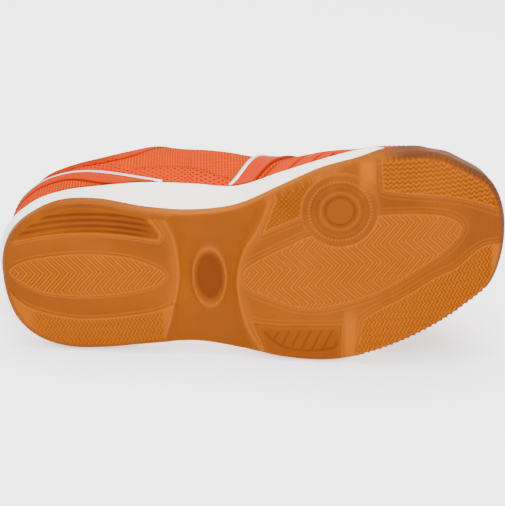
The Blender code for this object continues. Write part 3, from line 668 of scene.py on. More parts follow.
def bump(tree, height, strength, distance, before=None):
    """Normal from a height, on top of an earlier bump."""
    inputs = {"Height": height, "Strength": strength, "Distance": distance * MM}
    if before is not None:
        inputs["Normal"] = before
    return add(tree, "ShaderNodeBump", inputs).outputs["Normal"]


def dress(tree, shader, colour, normal):
    """Link a colour and a normal to the shader."""
    tree.links.new(colour, shader.inputs["Base Color"])
    tree.links.new(normal, shader.inputs["Normal"])


def gum_material(colours):
    """Amber rubber: patches, bands, painted shade in the grooves and on the toe wall, beads with painted
    highlights, flex strips with a painted glow, clouds of both tones and fine drawn lines.
    """
    material, tree, shader = start_material("gum_rubber", Roughness=0.5, Specular_IOR_Level=0.02)
    # The groove and rim shares paint shade, the bead share paints highlights, and the flex share paints the
    # flex strips and a glow
    colour = colours.gum_band
    for name, tone in (("patch", colours.gum_patch), ("flex", colours.gum_flex_and_glow), ("groove", colours.gum_deep_and_shade),
                       ("bead", colours.gum_bead_highlight), ("rim", colours.gum_rim_shade)):
        colour = mix(tree, mask(tree, name), colour, tone)
    colour = mix(tree, cloud(tree, 55.0, 0.22), colour, colours.gum_deep_and_shade)
    pale = add(tree, "ShaderNodeMapRange", {0: object_noise(tree, 22.0), 1: 0.45, 2: 0.7, 3: 0.0, 4: 0.35})
    colour = mix(tree, pale.outputs[0], colour, colours.gum_patch)
    grain = bump(tree, object_noise(tree, 1600.0), 0.15, 0.15)
    place = add(tree, "ShaderNodeUVMap", uv_map="cloth").outputs["UV"]
    lines = add(tree, "ShaderNodeTexWave", {"Vector": place, "Scale": 35.0}, bands_direction="X")
    lines = maths(tree, "MULTIPLY", lines.outputs["Fac"], mask(tree, "lines"))
    colour = mix(tree, maths(tree, "MULTIPLY", lines, 0.25), colour, colours.gum_deep_and_shade)
    dress(tree, shader, colour, bump(tree, lines, 0.6, 0.2, grain))
    return material


def foam_material(colours):
    """White moulded foam with a fine pebbled skin."""
    material, tree, shader = start_material("white_foam", Roughness=0.62)
    colour = mix(tree, cloud(tree, 30.0, 0.08), colours.foam, FOAM_SHADE)
    dress(tree, shader, colour, bump(tree, object_noise(tree, 900.0), 0.2, 0.2))
    return material


def weave(tree, pitch):
    """Open mesh on the cloth map: the product of two sines of the lengths along and up the piece."""
    place = add(tree, "ShaderNodeUVMap", uv_map="cloth").outputs["UV"]
    split = add(tree, "ShaderNodeSeparateXYZ", {0: place})
    turn = 2 * math.pi / pitch
    u = maths(tree, "SINE", maths(tree, "MULTIPLY", split.outputs[0], turn))
    v = maths(tree, "SINE", maths(tree, "MULTIPLY", split.outputs[1], turn * WEAVE_STRETCH))
    return maths(tree, "MULTIPLY", u, v)


def cloth_material(name, colours, pitch):
    """Woven mesh with smooth panels, dark seams and rows of pierced dots."""
    material, tree, shader = start_material(name, Roughness=0.8, Specular_IOR_Level=0.01)
    open_mesh = weave(tree, pitch)
    bare = maths(tree, "SUBTRACT", 1.0, mask(tree, "smooth"))
    hole = maths(tree, "SMOOTH_MIN", maths(tree, "ABSOLUTE", open_mesh), 0.75, 0.2)
    hole = maths(tree, "MULTIPLY", maths(tree, "MULTIPLY", hole, 0.85), bare)
    colour = mix(tree, hole, colours.cloth, colours.seam)
    colour = mix(tree, mask(tree, "smooth"), colour, colours.panel)
    dots = maths(tree, "GREATER_THAN", weave(tree, 1.4 * pitch), 0.62)
    dots = maths(tree, "MULTIPLY", maths(tree, "MULTIPLY", dots, mask(tree, "pierced")), 0.8)
    colour = mix(tree, dots, colour, colours.seam)
    colour = mix(tree, mask(tree, "seam"), colour, colours.seam)
    colour = mix(tree, cloud(tree, 60.0, 0.18), colour, colours.seam)
    height = maths(tree, "SUBTRACT", maths(tree, "MULTIPLY", open_mesh, bare), dots)
    grain = bump(tree, object_noise(tree, 1200.0), 0.12, 0.15)
    dress(tree, shader, colour, bump(tree, height, 0.8, 0.4, grain))
    return material


def plain_material(name, base, dark, roughness, grain, **sockets):
    """Smooth finish with a faint cloud of colour and a fine grain."""
    material, tree, shader = start_material(name, Roughness=roughness, **sockets)
    colour = mix(tree, cloud(tree, 80.0, 0.25), base, dark)
    dress(tree, shader, colour, bump(tree, object_noise(tree, grain), 0.25, 0.2))
    return material


def panel_material(colours):
    """Smooth synthetic with a pebbled grain and darker folded edges."""
    material, tree, shader = start_material("smooth_panel", Roughness=0.5, Specular_IOR_Level=0.03)
    colour = mix(tree, cloud(tree, 70.0, 0.15), colours.panel, colours.seam)
    colour = mix(tree, mask(tree, "seam"), colour, colours.seam)
    dress(tree, shader, colour, bump(tree, object_noise(tree, 1400.0), 0.2, 0.2))
    return material


def knit_material(name, base, dark, pitch, roughness=0.85):
    """Close knit on the cloth map."""
    material, tree, shader = start_material(name, Roughness=roughness, Specular_IOR_Level=0.01)
    height = weave(tree, pitch)
    share = maths(tree, "MULTIPLY_ADD", height, 0.25, 0.3)
    dress(tree, shader, mix(tree, share, base, dark), bump(tree, height, 0.6, 0.25))
    return material


# Sole

SPLIT = 103.9
REAR_STATIONS = 320
FRONT_STATIONS = 325
TREAD_COLUMNS = 250
ROLL_ROWS = 8
WALL_ROWS = 10
TIP_EASE = 0.06
LIP_ROUND = 0.5
WALL_SHARE = 6.0
# Painted glow on the gum wall at the waist: middle and width
WAIST_GLOW = (105.0, 55.0)
SHARE_SWEEP = (60.0, 120.0)
TUCK = ((172.0, 180.0), (198.0, 206.0))
TUCK_LEAN = 0.45
TUCK_BELL = (0.65, 197.5, 5.5)
TOOTH_DEPTH = 1.15
TOOTH_SPAN = ((160.0, 166.0), (219.0, 223.0))
BUMP_DEPTH = 0.9
BUMP_PITCH = 2.6
BUMP_ROW = 2.4
BUMP_SPAN = ((176.0, 184.0), (226.5, 229.5))
# Span of the painted shade line along the roll beside the heel's ribs
RIB_END = ((16.0, 30.0), (48.0, 62.0))


def eased(count, ease):
    """Shares from 0 to 1 that crowd towards 0, along a hyperbola."""
    t = np.linspace(0.0, 1.0, count)
    return (np.sqrt(t * t + ease * ease) - ease) / (math.sqrt(1.0 + ease * ease) - ease)


def even_stations(count, ease):
    """Stations from heel to toe, evenly spaced but closer at both tips."""
    half = eased(count // 2 + 1, ease)
    return station(LENGTH / 2 * np.concatenate([half, (2.0 - half[::-1])[1:]]))


def sole_stations():
    """Stations along the sole, evenly spaced but closer at the heel and toe tips, with one at the split."""
    rear = SPLIT * eased(REAR_STATIONS, TIP_EASE)
    front = LENGTH - (LENGTH - SPLIT) * eased(FRONT_STATIONS, TIP_EASE)[::-1]
    return station(np.concatenate([rear, front[1:]]))


def edge_lines(q, inner, outer, inset, height):
    """Inner and outer edge lines of the sole, moved in by an inset and lifted to a height over x."""
    n = len(q)
    one = np.stack([along(q), read(SOLE, inner, q)], axis=-1)
    two = np.stack([along(q), read(SOLE, outer, q)], axis=-1)
    loop = np.concatenate([one, two[-2:0:-1]])
    tangent = unit(np.roll(loop, -1, axis=0) - np.roll(loop, 1, axis=0))
    normal = np.stack([-tangent[:, 1], tangent[:, 0]], axis=-1)
    back = -np.arange(n) % len(loop)
    amount = np.concatenate([inset[0], inset[1][-2:0:-1]])
    loop = loop + amount[:, None] * normal
    ring = np.column_stack([loop, height(np.clip(loop[:, 0], 0.0, LENGTH))])
    return ring[:n], ring[back]


def both(value, q):
    """The same inset for the inner and the outer edge."""
    amount = value(along(q)) if callable(value) else np.full(len(q), float(value))
    return amount, amount


def closed_curve(points):
    """Closed Catmull-Rom curve through points."""
    p = np.array(points, float)
    before, after, beyond = np.roll(p, 1, axis=0), np.roll(p, -1, axis=0), np.roll(p, -2, axis=0)
    t = (np.arange(CURVE_STEPS) / CURVE_STEPS)[None, :, None]
    p, before, after, beyond = (a[:, None] for a in (p, before, after, beyond))
    curve = p + 0.5 * t * (after - before + t * (2 * before - 5 * p + 4 * after - beyond
                                                + t * (3 * (p - after) + beyond - before)))
    return curve.reshape(-1, 2)


def outline_distance(x, y, outline):
    """Distance to an outline, negative inside, by its nearest edge and by crossings of a line."""
    nearest = np.full(x.shape, np.inf)
    inside = np.zeros(x.shape, bool)
    for (ax, ay), (bx, by) in zip(outline, np.roll(outline, -1, axis=0)):
        ex, ey = bx - ax, by - ay
        t = np.clip(((x - ax) * ex + (y - ay) * ey) / (ex * ex + ey * ey), 0.0, 1.0)
        nearest = np.minimum(nearest, np.hypot(x - ax - t * ex, y - ay - t * ey))
        if ay != by:
            inside ^= ((ay > y) != (by > y)) & (x < ex * (y - ay) / ey + ax)
    return np.where(inside, -nearest, nearest)


def grooves(phase, sharpness):
    """1 at the bottom of each groove and 0 between, once for every whole step of phase."""
    return (0.5 + 0.5 * np.cos(2 * np.pi * phase)) ** sharpness


def chevron_phase(x, y, sizes):
    """Chevron count of the heel lens and of the forefoot field: x plus a folded y, over the pitch."""
    lens = x + CHEVRON_LEG * fold(y - LENS_MIDDLE, CHEVRON_HALF)
    middle = FIELD_MIDDLE[1] - FIELD_TILT * (x - FIELD_MIDDLE[0])
    field = x + CHEVRON_LEG * fold(y - middle, CHEVRON_HALF)
    return lens / sizes.chevron_pitch, field / sizes.chevron_pitch


def patch_patterns(x, y, sizes):
    """Groove share of each tread patch: chevrons, zigzags, lengthwise ribs and slanted slits."""
    lens, field = chevron_phase(x, y, sizes)
    slope, leg = UPRIGHT_ZIGZAG
    upright = grooves((x + slope * fold(y, leg)) / sizes.zigzag_pitch, FINE_GROOVE)
    slope, leg = LENGTHWISE_ZIGZAG
    lengthwise = grooves((y + slope * fold(x, leg)) / (LENGTHWISE_STRETCH * sizes.zigzag_pitch), FINE_GROOVE)
    rib = RIB_CENTRE[1] + RIB_BOW * (x - RIB_CENTRE[0]) ** 2 - y
    ribs = grooves(rib / RIB_PITCH, BROAD_GROOVE) * smooth_step(RIB_COUNT * RIB_PITCH - rib, 0.0, 0.4)
    ribs = np.maximum(ribs, ridge(rib - RIB_LAST, RIB_LAST_WIDTH)) * window(x, *RIB_SPAN)
    border = outline_distance(x, y, closed_curve(SIDE_SLITS))
    below = smooth_step(y, SLIT_TOP - 0.3, SLIT_TOP + 0.3)
    slit = x - SLIT_PLACE[0] + SLIT_SLANT * (y - SLIT_PLACE[1])
    slits = grooves(slit / SLIT_PITCH, SLIT_GROOVE) * smooth_step(-border, 0.2, 0.8)
    return {
        "heel_lens": grooves(lens, FINE_GROOVE),
        "ball_field": grooves(field, FINE_GROOVE),
        "heel_side": HEEL_ZIGZAG_SHARE * upright * window(x, *HEEL_ZIGZAG_SPAN),
        "ball_wedge": np.maximum(grooves((x + y) / WEDGE_PITCH, BROAD_GROOVE),
                                 grooves((x - y) / WEDGE_PITCH, BROAD_GROOVE)),
        "toe_out": TOE_ZIGZAG_SHARE * upright * smooth_step(TOE_ZIGZAG_END - x, 0.0, 3.0),
        "toe_in": TOE_ZIGZAG_SHARE * lengthwise,
        "heel_rib": ribs,
        "ball_side": np.maximum(slits, ridge(border, 0.5)) * below,
    }


def chevron_glints(x, y, near, sizes):
    """Every second chevron ridge, which stands a little higher than its neighbours and is painted paler as a
    highlight.
    """
    lens, field = (0.5 + 0.5 * np.cos(np.pi * (phase - 0.5)) for phase in chevron_phase(x, y, sizes))
    inside = {name: smooth_step(-near[name], 0.6, 1.6) for name in ("heel_lens", "ball_field")}
    return np.maximum(lens ** 4 * inside["heel_lens"], field ** 4 * inside["ball_field"])


def pivot_disc(x, y):
    """Radius, groove share and bead share of the pivot disc: rings by radius, one of them a row of dots."""
    radius = np.hypot(x - PIVOT[0], y - PIVOT[1])
    turn = np.arctan2(y - PIVOT[1], x - PIVOT[0])

    def rings(*rows):
        return sum(share * ridge(radius - at, width) for share, at, width in rows)

    dots = rings(PIVOT_DOTS) * (0.5 + 0.5 * np.cos(PIVOT_DOT_COUNT * turn))
    return radius, np.clip(rings(*PIVOT_GROOVES), 0.0, 1.0), np.clip(rings(*PIVOT_BEADS) + dots, 0.0, 1.0)


def tread_relief(x, y, sizes):
    """Depth of the tread below its patches and the share of each finish there, painted shade and highlights
    among them.

    Patches stand proud of the smooth bands by one band depth, with a bead round each and its own grooves
    inside. The shank is hollowed out round a plain oval rim.
    """
    near = {name: outline_distance(x, y, closed_curve(points)) for name, points in LUGS.items()}
    nearest = np.minimum.reduce(list(near.values()))
    radius, ring, disc_bead = pivot_disc(x, y)
    lug = smooth_step(-nearest, *PATCH_EDGE)
    raised = np.maximum(lug, smooth_step(PIVOT_RADIUS - radius, *PATCH_EDGE))
    off_disc = smooth_step(radius, PIVOT_RADIUS - 0.6, PIVOT_RADIUS + 0.6)
    groove = np.zeros_like(x)
    for name, share in patch_patterns(x, y, sizes).items():
        groove = np.maximum(groove, share * smooth_step(-near[name], *GROOVE_EDGE))
    groove = groove * off_disc + ring * (1.0 - off_disc)
    outer_bead = 0.5 * ridge(nearest - OUTER_BEAD_OUT, BEAD_WIDTH) * smooth_step(x, *OUTER_BEAD_SWEEP)
    bead = np.maximum((0.8 * ridge(nearest - BEAD_OUT, BEAD_WIDTH) + outer_bead) * off_disc, disc_bead)
    glint = chevron_glints(x, y, near, sizes) * off_disc

    shank = outline_distance(x, y, closed_curve(SHANK))
    ramp = SHANK_RAMP + SHANK_RAMP * smooth_step(np.abs(y - OVAL[1]), *SHANK_RAMP_SWEEP)
    hollow = smooth_step(-shank, -0.6, ramp)
    oval = (np.hypot((x - OVAL[0]) / OVAL_HALF[0], (y - OVAL[1]) / OVAL_HALF[1]) - 1.0) * OVAL_HALF[0]
    rim = ridge(oval + OVAL_RIM / 2, OVAL_RIM / 2)
    in_shank = smooth_step(-shank, 0.0, 1.0)
    groove = groove * (1.0 - in_shank)
    share, place, width = SHANK_BEAD
    bead = np.maximum(bead * (1.0 - in_shank), share * ridge(shank - place, width))
    bead = np.maximum(bead, 0.75 * rim * in_shank) * smooth_step(x, *BEAD_SWEEP)

    flex = np.maximum(window(x, *OUTER_FLEX) * smooth_step(y, *OUTER_FLEX_SWEEP),
                      window(x, *INNER_FLEX) * smooth_step(-y, *INNER_FLEX_SWEEP)) * (1.0 - lug)
    # Painted glow of the gum along the shank's edge, kept with the flex strips
    share, place, width = SHANK_GLOW
    glow = np.maximum(flex, share * ridge(shank - place, width) * (1.0 - lug))

    band = BAND_DEPTH * (1.0 - TIP_SHARE * smooth_step(x, *TIP_FADE))
    depth = band * (1.0 - raised) + sizes.groove_depth * groove + FLEX_DEPTH * flex
    depth = depth - sizes.bead_height * bead - GLINT_HEIGHT * glint
    depth = depth * (1.0 - in_shank) + hollow * in_shank * SHANK_DEPTH * (1.0 - OVAL_RIM_SHARE * rim)
    lines = (1.0 - lug) * smooth_step(x, *FINE_LINES_SWEEP) * off_disc
    patterned = lug * smooth_step(near[SMOOTH_PATCH], -0.4, 0.4)
    # Painted highlight: the beads, the oval's rim, the disc's dots and every second chevron ridge are painted
    # paler
    pale = np.clip(0.75 * bead + 0.7 * glint, 0.0, 1.0)
    # Painted shade: the grooves, some patches and the inside of the oval are darkened towards the groove
    # colour
    shade = np.maximum.reduce([amount * smooth_step(-near[name], 0.3, 2.5) for name, amount in PATCH_SHADE])
    shade = np.maximum(shade * (1.0 - in_shank), 0.75 * smooth_step(-oval - OVAL_RIM, 0.0, 1.2))
    dark = np.clip(np.maximum(0.46 * groove, shade + 0.45 * groove), 0.0, 1.0)
    return depth, {"patch": patterned * off_disc * (1.0 - in_shank), "groove": dark, "bead": pale,
                   "flex": glow, "lines": lines}


def teeth(line, pitch):
    """Inset of the toothed outer edge at the front, a triangle wave of the length along the edge."""
    wave = fold(arc_lengths(line, 0), pitch / 2) / (pitch / 2)
    return TOOTH_DEPTH * wave * window(line[:, 0], *TOOTH_SPAN)


def toe_bumps(line, height):
    """Inset of the bumps on the inner toe edge: two waves, along the edge and up it, shifted row by row."""
    row, share = divmod(height / BUMP_ROW, 1.0)
    wave = np.cos(2 * np.pi * (arc_lengths(line, 0) / BUMP_PITCH + 0.5 * row)) * math.sin(np.pi * share)
    return BUMP_DEPTH * np.maximum(wave, -0.3) * window(line[:, 0], *BUMP_SPAN)


def wrap_tuck(x):
    """How much further the wrap's wall leans in near its start on the inner side."""
    lean, place, width = TUCK_BELL
    return TUCK_LEAN * window(x, *TUCK) + lean * ridge(x - place, width)


def outsole_sections(sizes):
    """Closed sections of the gum cup at every station, with the finish shares of their points, painted shade,
    highlights and glow among them.

    A section runs across the tread from the outer to the inner side, up the rolled inner edge and wall, over
    the lip, down to the cup's floor, and back the same way on the outer side.
    """
    q = sole_stations()
    gum = ("gum_in", "gum_out")
    inner_line, outer_line = (np.stack([along(q), read(SOLE, name, q)], axis=-1) for name in gum)
    tooth = teeth(outer_line, sizes.tooth_pitch)
    edge_in, edge_out = edge_lines(q, *gum, both(GUM_ROLL[0], q), tread_height)
    share = np.linspace(0.0, 1.0, TREAD_COLUMNS)[None, :, None]
    flat = edge_out[:, None] + (edge_in - edge_out)[:, None] * share
    depth, shares = tread_relief(flat[..., 0], flat[..., 1], sizes)
    flat[..., 2] = tread_height(np.clip(flat[..., 0], 0.0, LENGTH)) + depth

    inner_rows, outer_rows, rim_shades, glows = [], [], [], []
    bend = np.linspace(0.0, np.pi / 2, ROLL_ROWS + 1)[1:]
    climb = np.linspace(0.0, 1.0, WALL_ROWS + 1)[1:]
    steps = [(GUM_ROLL[0] * (1 - math.sin(b)), GUM_ROLL[1] * (1 - math.cos(b)), 0.0) for b in bend]
    steps += [(0.0, GUM_ROLL[1], c) for c in climb]
    steps += [(LIP_ROUND, GUM_ROLL[1], 1.0), (GUM_WALL, GUM_ROLL[1], 1.0)]
    for inset, lift, rise in steps:
        def height(x, lift=lift, rise=rise):
            low = tread_height(x) + lift
            return low + (sole_height("gum_z", x) - low) * rise
        amount = inset + TOE_LEAN * toe_wrap(along(q)) * rise
        bite = tooth * (1.0 - smooth_step(rise, 0.15, 0.6)) * smooth_step(lift, 0.1, 1.5)
        knobs = toe_bumps(inner_line, lift) * smooth_step(inset, 0.0, 1.0) if rise == 0.0 else 0.0
        tuck = wrap_tuck(along(q)) * rise if inset < GUM_WALL else 0.0
        first, last = edge_lines(q, *gum, (amount + tuck - knobs, amount + bite), height)
        inner_rows.append(first)
        outer_rows.append(last)
        level = lift + WALL_SHARE * rise
        # Painted shade on the toe wrap's wall, and a painted glow along the gum wall at the waist
        rim_shades.append(toe_wrap(along(q)) * smooth_step(level, -0.1, 0.4))
        glows.append(0.8 * ridge(along(q) - WAIST_GLOW[0], WAIST_GLOW[1]) * smooth_step(level, 0.5, 4.0))
    floor_in, floor_out = edge_lines(q, *gum, both(GUM_WALL, q), lambda x: tread_height(x) + GUM_FLOOR)
    settle = np.cos(bend) ** 2
    walls_in, walls_out = np.stack(inner_rows, axis=1), np.stack(outer_rows, axis=1)
    for walls, end in ((walls_in, flat[:, -1]), (walls_out, flat[:, 0])):
        drop = end[:, 2] - tread_height(np.clip(end[:, 0], 0.0, LENGTH))
        walls[:, :ROLL_ROWS, 2] += drop[:, None] * settle
    section = np.concatenate(
        [flat, walls_in, floor_in[:, None], floor_out[:, None], walls_out[:, ::-1]], axis=1)
    rim, glow = np.stack(rim_shades, axis=1), np.stack(glows, axis=1)
    none = np.zeros((len(q), 2))
    values = {}
    ease = np.concatenate([settle, np.zeros(len(steps) - ROLL_ROWS)])
    ease = ease * smooth_step(along(q), *SHARE_SWEEP)[:, None]
    for key, value in shares.items():
        up, down = value[:, -1:] * ease, value[:, :1] * ease[:, ::-1]
        values[key] = np.concatenate([value, up, none, down], axis=1)
    # Painted shade: a soft dark line along the roll beside the heel's ribs; then the painted shade of the toe
    # wrap's wall and the painted glow at the waist
    values["groove"][:, TREAD_COLUMNS + 1:TREAD_COLUMNS + 4] += 0.6 * window(along(q), *RIB_END)[:, None]
    values["rim"] = np.concatenate([0 * flat[..., 0], rim, none, rim[:, ::-1]], axis=1)
    values["flex"][:, TREAD_COLUMNS:TREAD_COLUMNS + len(steps)] += glow
    values["flex"][:, -len(steps):] += glow[:, ::-1]
    return section, values


class COURTSHOE_OT_outsole(bpy.types.Operator):
    """Gum outsole in two halves that meet in the shank"""
    bl_idname = "court_shoe.outsole"
    bl_label = "Outsole"

    def execute(self, context):
        sizes, colours = millimetres(context.scene), context.scene.court_shoe_colours
        section, values = outsole_sections(sizes)
        gum = gum_material(colours)
        for name, part in (("outsole_rear", slice(0, REAR_STATIONS)),
                           ("outsole_front", slice(REAR_STATIONS - 1, None))):
            points = section[part]
            rows, columns = points.shape[:2]
            cap = np.arange(columns) + ((rows - 1) * columns if part.start == 0 else 0)
            faces = grid_quads(rows, columns, close=True).tolist()
            faces.append((cap[::-1] if part.start == 0 else cap).tolist())
            piece = make_mesh(name, points, faces, {key: value[part] for key, value in values.items()},
                              uv=points[..., :2] / 100.0, sharp=75.0)
            finish_piece(piece, gum, ("outsole",))
        return {"FINISHED"}


FOAM_STATIONS = 260
FOAM_SIDE_ROWS = 9
FOAM_TOP_COLUMNS = 24
HEEL_CENTRE = (36.0, -1.0)
HEEL_BULGE = 2.2
HEEL_BULGE_END = 24.0
HEEL_BULGE_SIDE = (-4.0, 12.0)


def ring_sections(rings, columns, dish=None):
    """Closed sections through rings: up the inner edge, across the top and down the outer edge.

    A dish lowers the top by a half sine across the shoe, as deep as it says at each x.
    """
    inner, outer = (np.stack([ring[side] for ring in rings], axis=1) for side in (0, 1))
    share = np.linspace(0.0, 1.0, columns)[1:-1, None]
    top = inner[:, -1:] + (outer[:, -1:] - inner[:, -1:]) * share
    if dish is not None:
        top[..., 2] -= np.sin(np.pi * share[:, 0]) * dish(top[..., 0])
    return np.concatenate([inner, top, outer[:, ::-1]], axis=1)


def heel_bulge(points, share):
    """Foam pushed out from the heel's centre: a sine of the height, fading forwards and to the outer side."""
    arm = points[:, :2] - HEEL_CENTRE
    start, end = HEEL_BULGE_SIDE
    fade = smooth_step(HEEL_BULGE_END - points[:, 0], 0.0, HEEL_BULGE_END)
    fade = fade * smooth_step(end - points[:, 1], 0.0, end - start)
    push = HEEL_BULGE * math.sin(math.pi * share) * fade / np.linalg.norm(arm, axis=1)
    return points + np.column_stack([arm * push[:, None], 0.0 * push])


class COURTSHOE_OT_midsole(bpy.types.Operator):
    """Foam midsole seated in the gum cup"""
    bl_idname = "court_shoe.midsole"
    bl_label = "Midsole"

    def execute(self, context):
        q = np.linspace(0.0, 1.0, FOAM_STATIONS)
        gum, foam = ("gum_in", "gum_out"), ("foam_in", "foam_out")
        seat = GUM_WALL + SEAT_GAP
        behind = seat + TOE_LEAN + TOE_SEAT

        def ring(edges, inset, toe_inset, height):
            return edge_lines(q, *edges, both(lambda x: inset + toe_inset * toe_wrap(x), q), height)

        def ledge(x):
            return np.minimum(sole_height("gum_z", x) + SEAT_GAP, sole_height("foam_z", x) - FOAM_LIP)

        def top(x):
            return sole_height("foam_z", x)

        low = ring(gum, 0.15, behind, lambda x: ledge(x) + 0.3)
        high = ring(foam, 0.0, behind, lambda x: top(x) - 0.8)
        rings = [
            ring(gum, seat, TOE_SEAT, lambda x: tread_height(x) + GUM_FLOOR + SEAT_GAP),
            ring(gum, seat, behind - seat, ledge),
            ring(gum, 0.35, behind, lambda x: ledge(x) + 0.05)]
        for share in np.linspace(0.0, 1.0, FOAM_SIDE_ROWS):
            rings.append([heel_bulge(a + (b - a) * share, share) for a, b in zip(low, high)])
        rings.append(ring(foam, 0.25, behind, lambda x: top(x) - 0.2))
        rings.append(ring(foam, 0.8, behind, top))
        section = ring_sections(rings, FOAM_TOP_COLUMNS)
        piece = make_mesh("midsole_foam", section, grid_quads(*section.shape[:2], close=True))
        finish_piece(piece, foam_material(context.scene.court_shoe_colours), ("midsole",))
        return {"FINISHED"}


INSOLE_STATIONS = 160
INSOLE_COLUMNS = 60

# Hollow of the insole: depth all along, and more depth, place and width of the heel cup
INSOLE_HOLLOW = 0.4
HEEL_CUP = (1.1, 30.0, 35.0)

# Rounded edge of the insole: extra inset, and height as a share of the thickness
INSOLE_PROFILE = ((-0.7, 0.0), (-0.45, 0.6), (0.3, 0.87), (1.6, 1.0))


class COURTSHOE_OT_insole(bpy.types.Operator):
    """Loose insole with a shallow heel cup and a knitted top"""
    bl_idname = "court_shoe.insole"
    bl_label = "Insole"

    def execute(self, context):
        colours = context.scene.court_shoe_colours
        q = np.linspace(0.0, 1.0, INSOLE_STATIONS)
        inset = UPPER_INSET + UPPER_WALL + INSOLE_GAP
        rings = [edge_lines(q, "foam_in", "foam_out", both(lambda x: inset + extra + toe_pinch(x), q),
                            lambda x: sole_height("foam_z", x) + SEAT_GAP + up * INSOLE_THICK)
                 for extra, up in INSOLE_PROFILE]
        more, place, width = HEEL_CUP
        section = ring_sections(rings, INSOLE_COLUMNS,
                                lambda x: INSOLE_HOLLOW + more * ridge(x - place, width))
        piece = make_mesh("insole_board", section, grid_quads(*section.shape[:2], close=True),
                          uv=section[..., :2])
        finish_piece(piece, knit_material("sock_knit", colours.sock, SOCK_SHADE, 1.6), ("insole",))
        return {"FINISHED"}


# Upper

UPPER_STATIONS = 331
UPPER_ROWS = 73
UPPER_EASE = 0.12
FOOT_SINK = 0.5

# Collar panel: depth, and where it starts and ends to taper; pierced band: height, its rise to the heel and
# its fall to the front, and where its seam starts and it ends
COLLAR_PANEL = (7.0, 52.0, 90.0)
PIERCED_HEIGHT = 18.0
PIERCED_RISE = 45.0
PIERCED_RISE_SWEEP = (40.0, 58.0)
PIERCED_FALL = 10.0
PIERCED_FALL_SWEEP = (80.0, 112.0)
PIERCED_SEAM = (56.0, 62.0)
PIERCED_END = (114.0, 118.0)

# Slanted panels: place, width and lean of each fold; toe panel: start and sweep of its back edge, where that
# edge starts to slope, its height, and where the seam on top starts
PANEL_SLANT = 0.55
PANEL_SPAN = ((118.0, 119.2), (150.8, 152.0))
PANEL_FOLDS = ((118.2, 0.8, 0.0), (131.0, 0.75, 0.1), (141.0, 0.75, 0.0))
TOE_LINE = (152.0, 34.0)
TOE_SLOPE = 6.0
TOE_TOP = 24.0
TOE_TOP_SEAM = (184.0, 186.5)

# Creases: place and depth of each, their bow and its middle, their width, and the height where they start
VAMP_CREASES = ((163.0, 0.35), (172.0, 0.45), (181.0, 0.3))
CREASE_BOW = 0.002
CREASE_MIDDLE = 53.0
CREASE_WIDTH = 2.2
CREASE_RISE = (10.0, 24.0)

# Heights of the forms over the cloth, and the depth of a seam
COLLAR_LIFT = 0.15
TOE_LIFT = 0.35
PANEL_LIFT = 0.3
SEAM_DEPTH = 0.35

# Soft roll inside the collar: where it ends, thickness and depth, and its place in and down from the edge
COLLAR_REACH = 84.0
COLLAR_STATIONS = 220
COLLAR_POINTS = 20
COLLAR_ROLL = (2.7, 5.6)
COLLAR_IN = UPPER_WALL / 2 + 1.2
COLLAR_DOWN = 4.6


def upper_relief(x, below, above):
    """Displacement and finish shares of the upper's cloth.

    below is the distance from the free edge and above the distance from the feather edge. A smooth panel
    follows the collar and runs out at the throat, a pierced band runs along the waist, two slanted panels
    overlap in front of it, a smooth toe panel goes round the toe, and soft creases cross the vamp.
    """
    depth, start, end = COLLAR_PANEL
    collar_line = depth * (1.0 - smooth_step(x, start, end)) + 1.0
    collar = smooth_step(collar_line - below, -0.4, 0.4) * smooth_step(end - x, -2.0, 4.0)
    seam = ridge(below - collar_line - 0.4, 0.8) * smooth_step(end - x, -2.0, 4.0)
    band_line = PIERCED_HEIGHT + PIERCED_RISE * (1.0 - smooth_step(x, *PIERCED_RISE_SWEEP))
    band_line = band_line - PIERCED_FALL * smooth_step(x, *PIERCED_FALL_SWEEP)
    pierced = smooth_step(band_line - above, -0.5, 0.5) * (1.0 - smooth_step(x, *PIERCED_END))
    seam = seam + 0.45 * ridge(above - band_line - 0.3, 0.7) * window(x, PIERCED_SEAM, PIERCED_END)
    slant = x - PANEL_SLANT * above
    panels = window(slant, *PANEL_SPAN)
    folds = sum(ridge(slant - place + lean * above, width) for place, width, lean in PANEL_FOLDS)
    toe_line = TOE_LINE[0] + TOE_LINE[1] * smooth_step(above, TOE_SLOPE, TOE_TOP)
    toe = smooth_step(x, toe_line - 0.6, toe_line + 0.6) * smooth_step(TOE_TOP - above, 0.0, 1.5)
    toe_seam = np.maximum(ridge(x - toe_line, 0.85) * smooth_step(TOE_TOP + 0.5 - above, 0.0, 0.8),
                          ridge(above - TOE_TOP + 0.4, 0.8) * smooth_step(x, *TOE_TOP_SEAM))
    seam = seam + 0.8 * folds * smooth_step(above, 0.0, 2.0) * (1.0 - toe) + 0.8 * toe_seam
    bow = CREASE_BOW * (below - CREASE_MIDDLE) ** 2
    crease = sum(size * ridge(x - place - bow, CREASE_WIDTH) for place, size in VAMP_CREASES)
    crease = crease * smooth_step(above, *CREASE_RISE)
    smooth = np.clip(collar + 0.6 * panels + toe + 0.8 * pierced, 0.0, 1.0)
    seam = np.clip(seam, 0.0, 1.0)
    lift = COLLAR_LIFT * collar + TOE_LIFT * toe + PANEL_LIFT * panels - SEAM_DEPTH * seam - crease
    return lift, {"smooth": smooth, "seam": seam, "pierced": pierced}


